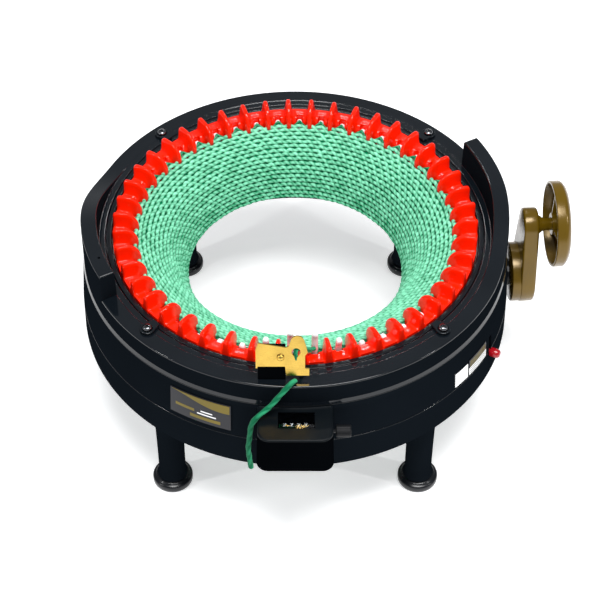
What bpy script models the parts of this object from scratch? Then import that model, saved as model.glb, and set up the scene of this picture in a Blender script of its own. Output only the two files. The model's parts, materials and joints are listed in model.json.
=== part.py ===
"""Circular knitting machine with 46 needles, turned by a hand crank.

Every size is in metres. The machine axis is vertical. Pieces are modelled round it and
hang from one empty, which puts the whole machine's box over the world origin.
"""

import math

import bmesh
import bpy
from mathutils import Matrix, Vector

# --- driving dimensions ---------------------------------------------------------------
NEEDLES = 46                      # needles round the cylinder
PITCH = 360.0 / NEEDLES           # degrees from one needle to the next
FIN_PHASE = -79.8                 # azimuth of one fin; the needles stand between the fins
GAP = 0.0003                      # clearance that separate pieces keep
STATIC_STEPS = 40                 # facets round a fixed ring

FOOT_HEIGHT = 0.0075              # rubber foot
BODY_BOTTOM = 0.0739              # underside of the tray
PARTING_Z = 0.1035                # joint between tray and side wall
LEDGE_Z = 0.1396                  # shoulder under the deck ring
DECK_Z = 0.1595                   # top of the deck
BODY_RADIUS = 0.1676              # tray at its bottom edge
PARTING_RADIUS = 0.1670
LEDGE_RADIUS = 0.1644
DECK_RADIUS = 0.1632              # deck at its outer top edge
DECK_INNER = 0.1457
WALL = 0.0030

CROWN_RADIUS = 0.1400             # outer edge of the red crown
CROWN_BOTTOM = 0.1500
CROWN_RIM_Z = 0.1600
FIN_TIP_RADIUS = 0.1205
DRUM_INNER = 0.1225
DRUM_OUTER = 0.1262
RIB_RADIUS = 0.1312               # ribs between the drum's needle slots
COLLAR_RADIUS = 0.1316            # collar that closes the slots at their lower end
DRUM_BOTTOM = 0.0775

RING_TEETH = 69                   # face gear, three teeth to two needles
PINION_TEETH = 9
GEAR_INNER = 0.1430
GEAR_OUTER = 0.1535
GEAR_ROOT_Z = 0.0795
GEAR_TIP_Z = 0.0836
GAP_HALF = 0.16                   # half of the gap between two teeth, in tooth pitches
TOOTH_FLANK = 0.14                # width of a sloping flank, in tooth pitches

CRANK_AZIMUTH = 3.5               # degrees from +X towards +Y
CRANK_Z = 0.1010                  # height of the crank shaft
CRANK_LENGTH = 0.0507             # shaft centre to handle centre
HUB_RADIUS = 0.0241
HANDLE_RADIUS = 0.0336
HANDLE_FACE = 0.2098              # outer face of the handle wheel, from the machine axis
HANDLE_FLAT = 0.0290              # radius of the flat part of that face
SHAFT_RADIUS = 0.0050
BUSHING_RADIUS = 0.0085

RAIL_Z = 0.0970                   # where the needles' feet are when they are down
RAIL_LIFT = 0.0242                # how far a needle rises at the feeder
LIFT_CENTRE = -88.5               # azimuth of the top of the lift
LIFT_HALF_ANGLE = 21.0
RAIL_STEP = 7.5                   # degrees between the cam's facets
BUTT_RADIUS = 0.1341              # outer end of a needle's butt

CHEEK_LENGTH = 54.5               # degrees from a cheek's abrupt end to the foot of its ramp
CHEEK_FLAT = 20.0
CHEEK_HEIGHT = 0.0240
CHEEK_INNER = 0.1512
CHEEK_ENDS = (28.5, 208.5)        # azimuths of the two abrupt ends

FEEDER_LEAN = 16.0                # degrees that the brass plate leans towards the needles
FEEDER_FOOT = (-0.1562, 0.1642)   # y and z of the plate's lower edge
PLATE_THICKNESS = 0.0012

CASE_HALF_WIDTH = 0.0270          # row counter
CASE_FRONT = 0.1957
CASE_TOP = 0.1392
COUNTER_AXIS_Y = -0.1782
COUNTER_AXIS_Z = 0.1295
DIGIT_PITCH = 0.0051
DIGIT_RADIUS = 0.0072
TRIP_PIVOT = (0, -0.1580, 0.0960)

LEVER_AZIMUTH = -27.0             # selector lever on the side wall
LEVER_Z = 0.1015
SLOT_BOTTOM = 0.0980
SLOT_TOP = 0.1185
SLOT_HALF_WIDTH = 0.0023

CLIP_AZIMUTHS = (45.0, 135.0, 225.0, 315.0)
CLIP_RADIUS = 0.1525
SCREW_HOLE = 0.0019
LEG_X = 0.0960
LEG_Y = 0.1180
YARN_DIAMETER = 0.0042
YARN_ROUTE = [
    (0.0, -0.1588, 0.1618), (-0.0037, -0.1634, 0.1626), (-0.0109, -0.1676, 0.1556),
    (-0.0180, -0.1718, 0.1486), (-0.0266, -0.1764, 0.1430), (-0.0312, -0.1773, 0.1350),
    (-0.0328, -0.1767, 0.1206), (-0.0339, -0.1765, 0.1081), (-0.0331, -0.1765, 0.0942),
    (-0.0324, -0.1765, 0.0860),
]

KNIT_LINE = [                     # the side that faces up and inwards, as (radius, z)
    (0.1196, 0.1562), (0.1110, 0.1525), (0.1005, 0.1462), (0.0910, 0.1345), (0.0850, 0.1215),
    (0.0830, 0.1130),
]
KNIT_THICKNESS = 0.0040

# The box of the whole machine runs from the body to the handle, and from the body to
# the counter, so the machine axis stands off the middle by half the difference.
CRANK_TURN = math.radians(CRANK_AZIMUTH)
HANDLE_REACH = HANDLE_FACE * math.cos(CRANK_TURN) + HANDLE_FLAT * math.sin(CRANK_TURN)
AXIS_X = -(HANDLE_REACH - BODY_RADIUS) / 2
AXIS_Y = (CASE_FRONT - BODY_RADIUS) / 2

MATERIALS = {
    "black_plastic": ((0.012, 0.014, 0.017), 0.22, 0.0),
    "dark_plastic": ((0.020, 0.021, 0.024), 0.45, 0.0),
    "red_plastic": ((0.80, 0.030, 0.012), 0.25, 0.0),
    "white_plastic": ((0.86, 0.87, 0.86), 0.25, 0.0),
    "bronze_plastic": ((0.36, 0.24, 0.045), 0.35, 0.3),
    "brass": ((0.86, 0.66, 0.24), 0.28, 1.0),
    "steel": ((0.62, 0.62, 0.64), 0.25, 1.0),
    "clear_plastic": ((0.75, 0.80, 0.82), 0.08, 0.0),
    "rubber": ((0.018, 0.018, 0.020), 0.80, 0.0),
    "label": ((0.88, 0.88, 0.87), 0.50, 0.0),
    "badge": ((0.20, 0.20, 0.19), 0.40, 0.0),
    "yarn": ((0.33, 0.74, 0.56), 0.90, 0.0),
}


# --- tools ----------------------------------------------------------------------------
def clear_scene():
    for thing in list(bpy.data.objects):
        bpy.data.objects.remove(thing, do_unlink=True)


def material(name):
    found = bpy.data.materials.get(name)
    if found:
        return found
    colour, roughness, metallic = MATERIALS[name]
    made = bpy.data.materials.new(name)
    made.use_nodes = True
    shader = made.node_tree.nodes["Principled BSDF"]
    shader.inputs["Base Color"].default_value = (*colour, 1.0)
    shader.inputs["Roughness"].default_value = roughness
    shader.inputs["Metallic"].default_value = metallic
    return made


def machine_axis():
    """The empty on the machine axis; everything hangs from it."""
    empty = bpy.data.objects.get("machine_axis")
    if empty is None:
        empty = bpy.data.objects.new("machine_axis", None)
        empty.location = (AXIS_X, AXIS_Y, 0)
        bpy.context.scene.collection.objects.link(empty)
    return empty


def add_object(name, bm, finish, at=(0, 0, 0), turn=(0, 0, 0), smooth=30):
    """Closes the mesh, turns its faces outwards and hangs it from the machine axis."""
    bmesh.ops.recalc_face_normals(bm, faces=bm.faces[:])
    if bm.calc_volume(signed=True) < 0:
        bmesh.ops.reverse_faces(bm, faces=bm.faces[:])
    mesh = bpy.data.meshes.new(name)
    bm.to_mesh(mesh)
    bm.free()
    mesh.shade_smooth()
    mesh.set_sharp_from_angle(angle=math.radians(smooth))
    mesh.materials.append(material(finish))
    made = bpy.data.objects.new(name, mesh)
    made.parent = machine_axis()
    made.location = at
    made.rotation_euler = turn
    bpy.context.scene.collection.objects.link(made)
    return made


def cutter(name, bm, target, at=(0, 0, 0), turn=(0, 0, 0), operation="DIFFERENCE"):
    """A hidden solid that a Boolean takes from the target, or adds to it."""
    tool = add_object(name, bm, "dark_plastic", at, turn)
    tool.hide_render = True
    tool.display_type = "WIRE"
    change = target.modifiers.new(name, "BOOLEAN")
    change.operation = operation
    change.solver = "EXACT"
    change.object = tool
    return tool


def polar(radius, azimuth, z=0.0):
    angle = math.radians(azimuth)
    return Vector((radius * math.cos(angle), radius * math.sin(angle), z))


def swept_ring(sections):
    """Joins (azimuth, [(radius, z), ...]) sections into one closed ring."""
    bm = bmesh.new()
    loops = []
    for azimuth, profile in sections:
        loops.append([bm.verts.new(polar(radius, azimuth, z)) for radius, z in profile])
    for here, following in zip(loops, loops[1:] + loops[:1]):
        for i in range(len(here)):
            j = (i + 1) % len(here)
            bm.faces.new((here[i], here[j], following[j], following[i]))
    return bm


def turned_ring(profile, steps=STATIC_STEPS):
    """A ring of one profile all round."""
    return swept_ring([(360.0 * i / steps, profile) for i in range(steps)])


def turned_solid(profile, steps=16, along="Z"):
    """A turned piece whose (radius, height) profile starts and ends on the axis."""
    bm = bmesh.new()
    tips = [bm.verts.new((0, 0, profile[0][1])), bm.verts.new((0, 0, profile[-1][1]))]
    rings = []
    for radius, height in profile[1:-1]:
        ring = [bm.verts.new(polar(radius, 360.0 * i / steps, height)) for i in range(steps)]
        rings.append(ring)
    for i in range(steps):
        j = (i + 1) % steps
        bm.faces.new((tips[0], rings[0][i], rings[0][j]))
        bm.faces.new((tips[1], rings[-1][j], rings[-1][i]))
        for low, high in zip(rings, rings[1:]):
            bm.faces.new((low[i], low[j], high[j], high[i]))
    if along == "X":
        bm.transform(Matrix.Rotation(math.radians(90), 4, "Y"))
    return bm


def rod(radius, start, end, steps=16, along="Z"):
    """A plain round bar from start to end along an axis."""
    return turned_solid([(0, start), (radius, start), (radius, end), (0, end)], steps, along)


def sleeve(inner, outer, start, end, steps=24, along="Z"):
    """A plain tube from start to end along an axis."""
    bm = turned_ring([(inner, start), (outer, start), (outer, end), (inner, end)], steps)
    if along == "X":
        bm.transform(Matrix.Rotation(math.radians(90), 4, "Y"))
    return bm


def prism(lower, upper):
    """Joins two outlines of 3-D points with the same count into one closed solid."""
    bm = bmesh.new()
    low = [bm.verts.new(point) for point in lower]
    high = [bm.verts.new(point) for point in upper]
    bm.faces.new(low)
    bm.faces.new(high)
    for i in range(len(low)):
        j = (i + 1) % len(low)
        bm.faces.new((low[i], low[j], high[j], high[i]))
    return bm


def block(low, high):
    """A box between two corners."""
    x0, y0, z0 = low
    x1, y1, z1 = high
    outline = [(x0, y0), (x1, y0), (x1, y1), (x0, y1)]
    return prism([(x, y, z0) for x, y in outline], [(x, y, z1) for x, y in outline])


def smoothstep(t):
    t = min(max(t, 0.0), 1.0)
    return t * t * (3 - 2 * t)


def arc(centre, radius, start, end, steps):
    """Points on an arc in a plane, in degrees from start to end."""
    points = []
    for i in range(steps + 1):
        angle = math.radians(start + (end - start) * i / steps)
        points.append((centre[0] + radius * math.cos(angle), centre[1] + radius * math.sin(angle)))
    return points


# --- fixed housing --------------------------------------------------------------------
def base_tray():
    """The bottom shell: floor, outer skirt up to the parting line, inner wall."""
    floor = BODY_BOTTOM + 0.0027
    track = DRUM_BOTTOM - GAP
    profile = [
        (0.1180, BODY_BOTTOM), (BODY_RADIUS, BODY_BOTTOM),
        (PARTING_RADIUS, PARTING_Z - GAP), (PARTING_RADIUS - WALL, PARTING_Z - GAP),
        (BODY_RADIUS - WALL, floor), (DRUM_OUTER, floor), (DRUM_OUTER, track),
        (0.1212, track), (0.1212, 0.0950), (0.1180, 0.0950),
    ]
    tray = add_object("base_tray", turned_ring(profile), "black_plastic")
    for i, (x, y) in enumerate(leg_places()):
        cutter(f"cut_leg_{i}", rod(0.0073, 0.070, 0.080, 12), tray, (x, y, 0))
    cut_shaft_hole("tray", tray)
    cut_lever_slot("tray", tray)
    return tray


def side_housing():
    """The side wall above the parting line, with the shoulder that carries the deck."""
    profile = [
        (PARTING_RADIUS, PARTING_Z), (LEDGE_RADIUS, LEDGE_Z), (0.1560, LEDGE_Z),
        (0.1560, LEDGE_Z - WALL), (LEDGE_RADIUS - WALL, LEDGE_Z - WALL),
        (PARTING_RADIUS - WALL, PARTING_Z),
    ]
    wall = add_object("side_housing", turned_ring(profile), "black_plastic")
    cut_shaft_hole("wall", wall)
    cut_lever_slot("wall", wall)
    cutter("cut_trip_slot", block((-0.004, -0.172, 0.1085), (0.004, -0.158, 0.1150)), wall)
    return wall


def cut_shaft_hole(label, target):
    turn = (0, 0, CRANK_TURN)
    hole = rod(BUSHING_RADIUS + GAP, 0.155, 0.175, 24, "X")
    cutter(f"cut_shaft_{label}", hole, target, (0, 0, CRANK_Z), turn)


def cut_lever_slot(label, target):
    turn = (0, 0, math.radians(LEVER_AZIMUTH))
    half = SLOT_HALF_WIDTH
    slot = block((0.155, -half, SLOT_BOTTOM), (0.175, half, SLOT_TOP))
    cutter(f"cut_lever_{label}", slot, target, (0, 0, 0), turn)


def cheek_height(azimuth, inset=0.0):
    """Height of the raised outer wall above the deck; it ramps down clockwise."""
    for end in CHEEK_ENDS:
        back = (end - azimuth) % 360.0
        if inset <= back <= CHEEK_LENGTH - 2 * inset:
            ramp = (back - CHEEK_FLAT) / (CHEEK_LENGTH - CHEEK_FLAT)
            return CHEEK_HEIGHT * (1 - smoothstep(ramp))
    return 0.0


def deck_section(azimuth):
    step = 0.0004
    rise = cheek_height(azimuth)
    hollow = max(cheek_height(azimuth, 1.6) - 0.0005, step)
    under = DECK_Z - WALL
    return [
        (DECK_INNER, under), (DECK_INNER, DECK_Z - step), (CHEEK_INNER - 0.0004, DECK_Z - step),
        (CHEEK_INNER, DECK_Z + rise), (DECK_RADIUS, DECK_Z + rise),
        (LEDGE_RADIUS - 0.0004, LEDGE_Z + GAP), (LEDGE_RADIUS - WALL, LEDGE_Z + GAP),
        (0.1604, under), (0.1602, under + hollow), (0.1540, under + hollow), (0.1536, under),
    ]


def deck_ring():
    """The deck with its two ramped cheeks, 180 degrees apart."""
    stations = set()
    for end in CHEEK_ENDS:
        stations.update((end, end + 0.15, end - 1.6, end - 1.75))
        stations.update(end - 6.0 * i for i in range(1, 10))
        stations.update(end + 0.15 + 9.0 * i for i in range(1, 14))
    around = sorted(azimuth % 360 for azimuth in stations)
    sections = [(azimuth, deck_section(azimuth)) for azimuth in around]
    deck = add_object("deck_ring", swept_ring(sections), "black_plastic")
    for i, azimuth in enumerate(CLIP_AZIMUTHS):
        hole = rod(SCREW_HOLE, 0.150, 0.165, 8)
        cutter(f"cut_deck_screw_{i}", hole, deck, polar(CLIP_RADIUS, azimuth))
    return deck


def retaining_ring():
    """The collar that keeps the crown in place, held by the four clips."""
    low = LEDGE_Z + GAP + 0.0033
    top = DECK_Z - 0.0001
    profile = [(0.1409, low), (0.1452, low), (0.1452, top), (0.1409, top - 0.0003)]
    return add_object("retaining_ring", turned_ring(profile), "dark_plastic")


def rail_lift(azimuth):
    away = (azimuth - LIFT_CENTRE + 180.0) % 360.0 - 180.0
    if abs(away) >= LIFT_HALF_ANGLE:
        return 0.0
    return RAIL_LIFT * math.cos(math.radians(90.0 * away / LIFT_HALF_ANGLE)) ** 2


def cam_ring():
    """The fixed ring inside the housing; the step in its wall follows the needles' lift."""
    seat = LEDGE_Z + GAP
    thick, thin, outer = BUTT_RADIUS + 0.0004, 0.1365, 0.1385
    sections = []
    for i in range(round(360.0 / RAIL_STEP)):
        azimuth = LIFT_CENTRE + RAIL_STEP * i
        step = RAIL_Z + rail_lift(azimuth)
        sections.append((azimuth, [
            (thick, 0.0930), (outer, 0.0930), (outer, seat), (0.1600, seat),
            (0.1600, seat + WALL), (thin, seat + WALL), (thin, step), (thick, step),
        ]))
    return add_object("cam_ring", swept_ring(sections), "white_plastic")


def leg_places():
    return [(sx * LEG_X, sy * LEG_Y) for sx in (-1, 1) for sy in (-1, 1)]


def legs_and_feet():
    names = ("front_left", "rear_left", "front_right", "rear_right")
    top = BODY_BOTTOM - GAP
    for name, (x, y) in zip(names, leg_places()):
        leg = turned_solid([
            (0, 0.0020), (0.0048, 0.0020), (0.0048, FOOT_HEIGHT + GAP), (0.0110, FOOT_HEIGHT + GAP),
            (0.0104, 0.0110), (0.0106, 0.0600), (0.0118, top), (0.0070, top),
            (0.0070, 0.0760), (0, 0.0760),
        ], 14)
        add_object(f"leg_{name}", leg, "black_plastic", (x, y, 0))
        foot = turned_ring([
            (0.0051, 0.0), (0.0146, 0.0), (0.0156, 0.0012), (0.0156, 0.0052),
            (0.0130, FOOT_HEIGHT), (0.0051, FOOT_HEIGHT),
        ], 16)
        add_object(f"foot_{name}", foot, "rubber", (x, y, 0))


def hold_down_clips():
    """Four tabs that reach over the retaining ring, each with its screw."""
    low = DECK_Z + GAP
    high = low + 0.0020
    nose = 0.1432
    outline = [(nose, -0.0030), *arc((CLIP_RADIUS, 0), 0.0056, -120, 120, 12), (nose, 0.0030)]
    for i, azimuth in enumerate(CLIP_AZIMUTHS):
        turn = (0, 0, math.radians(azimuth))
        tab = prism([(x, y, low) for x, y in outline], [(x, y, high) for x, y in outline])
        clip = add_object(f"hold_down_clip_{i + 1}", tab, "dark_plastic", (0, 0, 0), turn)
        hole = rod(SCREW_HOLE, 0.150, 0.170, 8)
        cutter(f"cut_clip_{i}", hole, clip, polar(CLIP_RADIUS, azimuth))
        screw = turned_solid([
            (0, 0.1545), (0.0016, 0.1545), (0.0016, high + GAP), (0.0034, high + GAP),
            (0.0030, high + 0.0019), (0, high + 0.0024),
        ], 12)
        add_object(f"clip_screw_{i + 1}", screw, "steel", polar(CLIP_RADIUS, azimuth))


# --- rotating cylinder ----------------------------------------------------------------
def fin_azimuth(index):
    return FIN_PHASE + PITCH * index


def needle_azimuth(index):
    return FIN_PHASE + PITCH * (index - 0.5)


def needle_crown():
    """The red ring of fins; the needles rise between them."""
    rim, low, root = CROWN_RADIUS, CROWN_BOTTOM, 0.1338
    fin = [
        (rim, low), (rim, CROWN_RIM_Z), (0.1360, 0.1710), (0.1290, 0.1712),
        (0.1222, 0.1650), (FIN_TIP_RADIUS, 0.1570), (0.1215, low),
    ]
    between = [
        (rim, low), (rim, CROWN_RIM_Z - 0.0002), (0.1360, CROWN_RIM_Z), (root, 0.1590),
        (root, 0.1565), (root, 0.1540), (root, low),
    ]
    fin_half, foot_half = 1.2, 2.5
    sections = []
    for index in range(NEEDLES):
        middle = fin_azimuth(index)
        sections += [(middle - foot_half, between), (middle - fin_half, fin)]
        sections += [(middle + fin_half, fin), (middle + foot_half, between)]
    return add_object("needle_crown", swept_ring(sections), "red_plastic")


def needle_drum():
    """The slotted cylinder under the crown; each needle slides in its own slot."""
    low = GEAR_ROOT_Z + GAP
    top = CROWN_BOTTOM - GAP

    def section(radius):
        return [
            (DRUM_INNER, low), (COLLAR_RADIUS, low), (COLLAR_RADIUS, RAIL_Z),
            (radius, RAIL_Z), (radius, top), (DRUM_INNER, top),
        ]

    half_slot, flank = 1.25, 0.1
    sections = []
    for index in range(NEEDLES):
        middle = needle_azimuth(index)
        ends = (middle - half_slot, middle + half_slot)
        rib = (ends[1] + flank, ends[0] + PITCH - flank)
        sections += [(azimuth, section(DRUM_OUTER)) for azimuth in ends]
        sections += [(azimuth, section(RIB_RADIUS)) for azimuth in rib]
    return add_object("needle_drum", swept_ring(sections), "white_plastic")


def drive_ring():
    """The face gear under the drum, teeth up, in mesh with the crank's pinion."""
    inner, low = DRUM_INNER, DRUM_BOTTOM
    seat = GEAR_ROOT_Z - 0.0001
    tooth_pitch = 360.0 / RING_TEETH

    def section(top):
        return [
            (inner, low), (GEAR_OUTER, low), (GEAR_OUTER, top), (GEAR_INNER, top),
            (GEAR_INNER - 0.0010, seat), (inner, seat),
        ]

    outline = (
        (GAP_HALF, GEAR_ROOT_Z), (GAP_HALF + TOOTH_FLANK, GEAR_TIP_Z),
        (1 - GAP_HALF - TOOTH_FLANK, GEAR_TIP_Z), (1 - GAP_HALF, GEAR_ROOT_Z),
    )
    sections = []
    for index in range(RING_TEETH):
        gap = CRANK_AZIMUTH + tooth_pitch * index
        sections += [(gap + share * tooth_pitch, section(top)) for share, top in outline]
    return add_object("drive_ring", swept_ring(sections), "white_plastic")


def needles(first=-4, last=7):
    """The latch needles nearest the feeder, each as high as the cam lifts it there."""
    inner, outer, hook = 0.1272, 0.1296, 0.1320
    half = 0.0024
    outline = [
        (inner, 0.0), (BUTT_RADIUS, 0.0), (BUTT_RADIUS, 0.0045), (outer, 0.0055), (outer, 0.0563),
        (hook, 0.0573), (hook, 0.0605), (outer, 0.0625), (0.1280, 0.0625), (inner, 0.0613),
    ]
    for number, index in enumerate(range(first, last + 1), start=1):
        azimuth = needle_azimuth(index)
        foot = RAIL_Z + highest_lift(azimuth) + GAP
        bm = prism([(r, -half, z) for r, z in outline], [(r, half, z) for r, z in outline])
        turn = (0, 0, math.radians(azimuth))
        add_object(f"needle_{number:02d}", bm, "white_plastic", (0, 0, foot), turn)


def highest_lift(azimuth, reach=1.1):
    """The cam's highest point across a needle's butt, on the cam's own facets."""
    def faceted(at):
        place = (at - LIFT_CENTRE) / RAIL_STEP
        low = math.floor(place)
        a = rail_lift(LIFT_CENTRE + RAIL_STEP * low)
        b = rail_lift(LIFT_CENTRE + RAIL_STEP * (low + 1))
        return a + (b - a) * (place - low)
    return max(faceted(azimuth + reach * step / 4) for step in range(-4, 5))


# --- crank ----------------------------------------------------------------------------
def crank_part(name, bm, finish, z=CRANK_Z):
    """A piece built along local +X and turned to the crank's azimuth."""
    return add_object(name, bm, finish, (0, 0, z), (0, 0, CRANK_TURN))


def drive_pinion():
    root, tip = 0.0160, 0.0205
    outline = []
    for index in range(PINION_TEETH):
        middle = -90.0 + 360.0 * index / PINION_TEETH
        for radius, offset in ((root, -11.0), (tip, -5.0), (tip, 5.0), (root, 11.0)):
            angle = math.radians(middle + offset)
            outline.append((radius * math.cos(angle), radius * math.sin(angle)))
    start, end = GEAR_INNER + 0.0007, GEAR_OUTER - 0.0005
    bm = prism([(start, y, z) for y, z in outline], [(end, y, z) for y, z in outline])
    pinion = crank_part("drive_pinion", bm, "white_plastic")
    bore = rod(SHAFT_RADIUS + GAP, 0.140, 0.160, 16, "X")
    cutter("cut_pinion", bore, pinion, (0, 0, CRANK_Z), (0, 0, CRANK_TURN))


def crank():
    """Shaft, bushing, arm, spindle and handle wheel."""
    turn = (0, 0, CRANK_TURN)
    crank_part("crank_shaft", rod(SHAFT_RADIUS, 0.1420, 0.1845, 16, "X"), "steel")

    bore = SHAFT_RADIUS + GAP
    bushing = turned_ring([
        (bore, 0.1600), (BUSHING_RADIUS, 0.1600), (BUSHING_RADIUS, 0.1674), (0.0110, 0.1674),
        (0.0110, 0.1694), (bore, 0.1694),
    ], 16)
    bushing.transform(Matrix.Rotation(math.radians(90), 4, "Y"))
    crank_part("shaft_bushing", bushing, "brass")

    end_radius = 0.0137
    outline = arc((0, 0), HUB_RADIUS, 168, 372, 18)
    outline += arc((0, CRANK_LENGTH), end_radius, 12, 168, 12)
    arm = prism([(0.1765, y, z) for y, z in outline], [(0.1880, y, z) for y, z in outline])
    crank_arm = crank_part("crank_arm", arm, "bronze_plastic")
    hub_place = (0, 0, CRANK_Z)
    hub = rod(HUB_RADIUS - 0.0004, 0.1700, 0.1800, 32, "X")
    cutter("add_hub", hub, crank_arm, hub_place, turn, "UNION")
    cutter("cut_hub_bore", rod(bore, 0.165, 0.1850, 16, "X"), crank_arm, hub_place, turn)
    handle_z = CRANK_Z + CRANK_LENGTH
    arm_bore = rod(bore, 0.1775, 0.195, 16, "X")
    cutter("cut_arm_bore", arm_bore, crank_arm, (0, 0, handle_z), turn)

    spindle = rod(SHAFT_RADIUS, 0.1780, 0.2068, 16, "X")
    crank_part("handle_spindle", spindle, "bronze_plastic", handle_z)
    rim, face, inside = 0.1985, HANDLE_FACE, HANDLE_RADIUS - 0.0022
    wheel = turned_solid([
        (0, face), (HANDLE_FLAT, face), (HANDLE_RADIUS, face - 0.0034),
        (HANDLE_RADIUS, rim), (inside, rim), (inside, face - 0.0050),
        (HANDLE_FLAT, face - 0.0024), (0.0088, face - 0.0024), (0.0088, rim + 0.0006),
        (bore, rim + 0.0006), (bore, face - 0.0027), (0, face - 0.0027),
    ], 32, "X")
    crank_part("handle_wheel", wheel, "bronze_plastic", handle_z)


# --- yarn feeder ----------------------------------------------------------------------
def feeder_point(x, along, depth=0.0):
    """A point on the leaning plate: along it from its foot, and behind its front."""
    lean = math.radians(FEEDER_LEAN)
    y = FEEDER_FOOT[0] + along * math.sin(lean) + depth * math.cos(lean)
    z = FEEDER_FOOT[1] + along * math.cos(lean) - depth * math.sin(lean)
    return (x, y, z)


def feeder_solid(outline, near, far):
    lower = [feeder_point(x, s, near) for x, s in outline]
    upper = [feeder_point(x, s, far) for x, s in outline]
    return prism(lower, upper)


def yarn_feeder():
    """The black block on the deck, the brass plate riveted to it and the rivet."""
    front = PLATE_THICKNESS + GAP
    low, high, back = DECK_Z + GAP, 0.1850, -0.1440
    foot = (low - FEEDER_FOOT[1]) / math.cos(math.radians(FEEDER_LEAN))
    head = (high - FEEDER_FOOT[1]) / math.cos(math.radians(FEEDER_LEAN))
    bottom = feeder_point(0, foot, front)
    top = feeder_point(0, head, front)
    side = [(bottom[1], low), (back, low), (back, high), (top[1], high)]
    body = prism([(-0.0266, y, z) for y, z in side], [(-0.0068, y, z) for y, z in side])
    feeder_block = add_object("feeder_block", body, "black_plastic")

    outline = (
        [(-0.0280, 0.0075), (-0.0072, 0.0075), (-0.0064, 0.0), (0.0100, 0.0), (0.0100, 0.0056),
         (0.0070, 0.0060), (0.0070, 0.0165), (0.0088, 0.0190), (0.0078, 0.0240)]
        + arc((0.0016, 0.0280), 0.0048, 20, 160, 7)
        + [(-0.0048, 0.0240), (-0.0070, 0.0232), (-0.0262, 0.0268), (-0.0280, 0.0215)]
    )
    plate = add_object("feeder_plate", feeder_solid(outline, 0.0, PLATE_THICKNESS), "brass")
    eye = [(0.0006, 0.0140)] + arc((0.0006, 0.0196), 0.0032, -40, 220, 12)
    cutter("cut_eye", feeder_solid(eye, -0.003, 0.004), plate)
    flange = [(-0.0280, 0.0060), (-0.0268, 0.0060), (-0.0268, 0.0215), (-0.0280, 0.0215)]
    cutter("add_flange", feeder_solid(flange, 0.0002, 0.0040), plate, operation="UNION")

    rivet_x, rivet_along = -0.0104, 0.0152
    for label, target in (("plate", plate), ("block", feeder_block)):
        hole = [(rivet_x + x, rivet_along + s) for x, s in arc((0, 0), 0.0018, 0, 315, 7)]
        cutter(f"cut_rivet_{label}", feeder_solid(hole, -0.003, 0.0075), target)
    rivet = turned_solid([
        (0, -0.0022), (0.0020, -0.0018), (0.0030, -GAP),
        (0.0014, -GAP), (0.0014, 0.0070), (0, 0.0070),
    ], 12)
    rivet.transform(Matrix.Rotation(math.radians(-90 - FEEDER_LEAN), 4, "X"))
    add_object("feeder_rivet", rivet, "brass", feeder_point(rivet_x, rivet_along))


# --- row counter ----------------------------------------------------------------------
def case_outline(back_radius, half_width, corner=0.0085):
    """The counter case from above: its back follows the round housing."""
    front_left = arc((-half_width + corner, -CASE_FRONT + corner), corner, 180, 270, 5)
    front_right = arc((half_width - corner, -CASE_FRONT + corner), corner, 270, 360, 5)
    spread = math.degrees(math.asin(half_width / back_radius))
    back = arc((0, 0), back_radius, 270 + spread, 270 - spread, 8)
    return front_left + front_right + back


def row_counter():
    low, axle_hole = PARTING_Z + 0.0005, 0.0018
    lower = [(x, y, low) for x, y in case_outline(PARTING_RADIUS + GAP, CASE_HALF_WIDTH + 0.0010)]
    upper = [(x, y, CASE_TOP) for x, y in case_outline(LEDGE_RADIUS + 2 * GAP, CASE_HALF_WIDTH)]
    case = add_object("counter_case", prism(lower, upper), "black_plastic")
    window = ((-0.0123, -0.1842), (0.0140, -0.1692))
    roof = CASE_TOP - 0.0022
    cutter("cut_case", block((-0.0236, -0.1928, 0.1070), (0.0236, -0.1703, roof)), case)
    cutter("cut_window", block((*window[0], 0.130), (*window[1], 0.145)), case)
    cutter("cut_trip", block((-0.004, -0.1725, 0.1085), (0.004, -0.160, 0.1150)), case)
    axis = (0, COUNTER_AXIS_Y, COUNTER_AXIS_Z)
    cutter("cut_axle", rod(axle_hole, -0.0252, 0.035, 12, "X"), case, axis)

    inset = GAP
    glass = block((window[0][0] + inset, window[0][1] + inset, CASE_TOP - 0.0020),
                  (window[1][0] - inset, window[1][1] - inset, CASE_TOP - 0.0008))
    add_object("counter_window", glass, "clear_plastic")

    add_object("counter_axle", rod(0.0015, -0.0248, 0.0385, 12, "X"), "steel", axis)
    for i, name in enumerate(("thousands", "hundreds", "tens", "units")):
        centre = (i - 1.5) * DIGIT_PITCH
        wheel = sleeve(axle_hole, DIGIT_RADIUS, centre - 0.0021, centre + 0.0021, 20, "X")
        add_object(f"digit_wheel_{name}", wheel, "dark_plastic", axis)
    knob = sleeve(axle_hole, 0.0047, 0.0290, 0.0400, 20, "X")
    add_object("reset_knob", knob, "dark_plastic", axis)


def trip_lever():
    """Rocks on its pin once a turn and steps the counter; the drum's foot pushes it."""
    side = [
        (-0.1568, 0.0785), (-0.1592, 0.0785), (-0.1592, 0.1100), (-0.1745, 0.1100),
        (-0.1745, 0.1128), (-0.1568, 0.1128),
    ]
    lever = prism([(-0.0016, y, z) for y, z in side], [(0.0016, y, z) for y, z in side])
    made = add_object("trip_lever", lever, "white_plastic", (0, 0, 0))
    cutter("add_trip_pin", rod(0.0012, -0.0045, 0.0045, 8, "X"), made, TRIP_PIVOT, operation="UNION")


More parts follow.
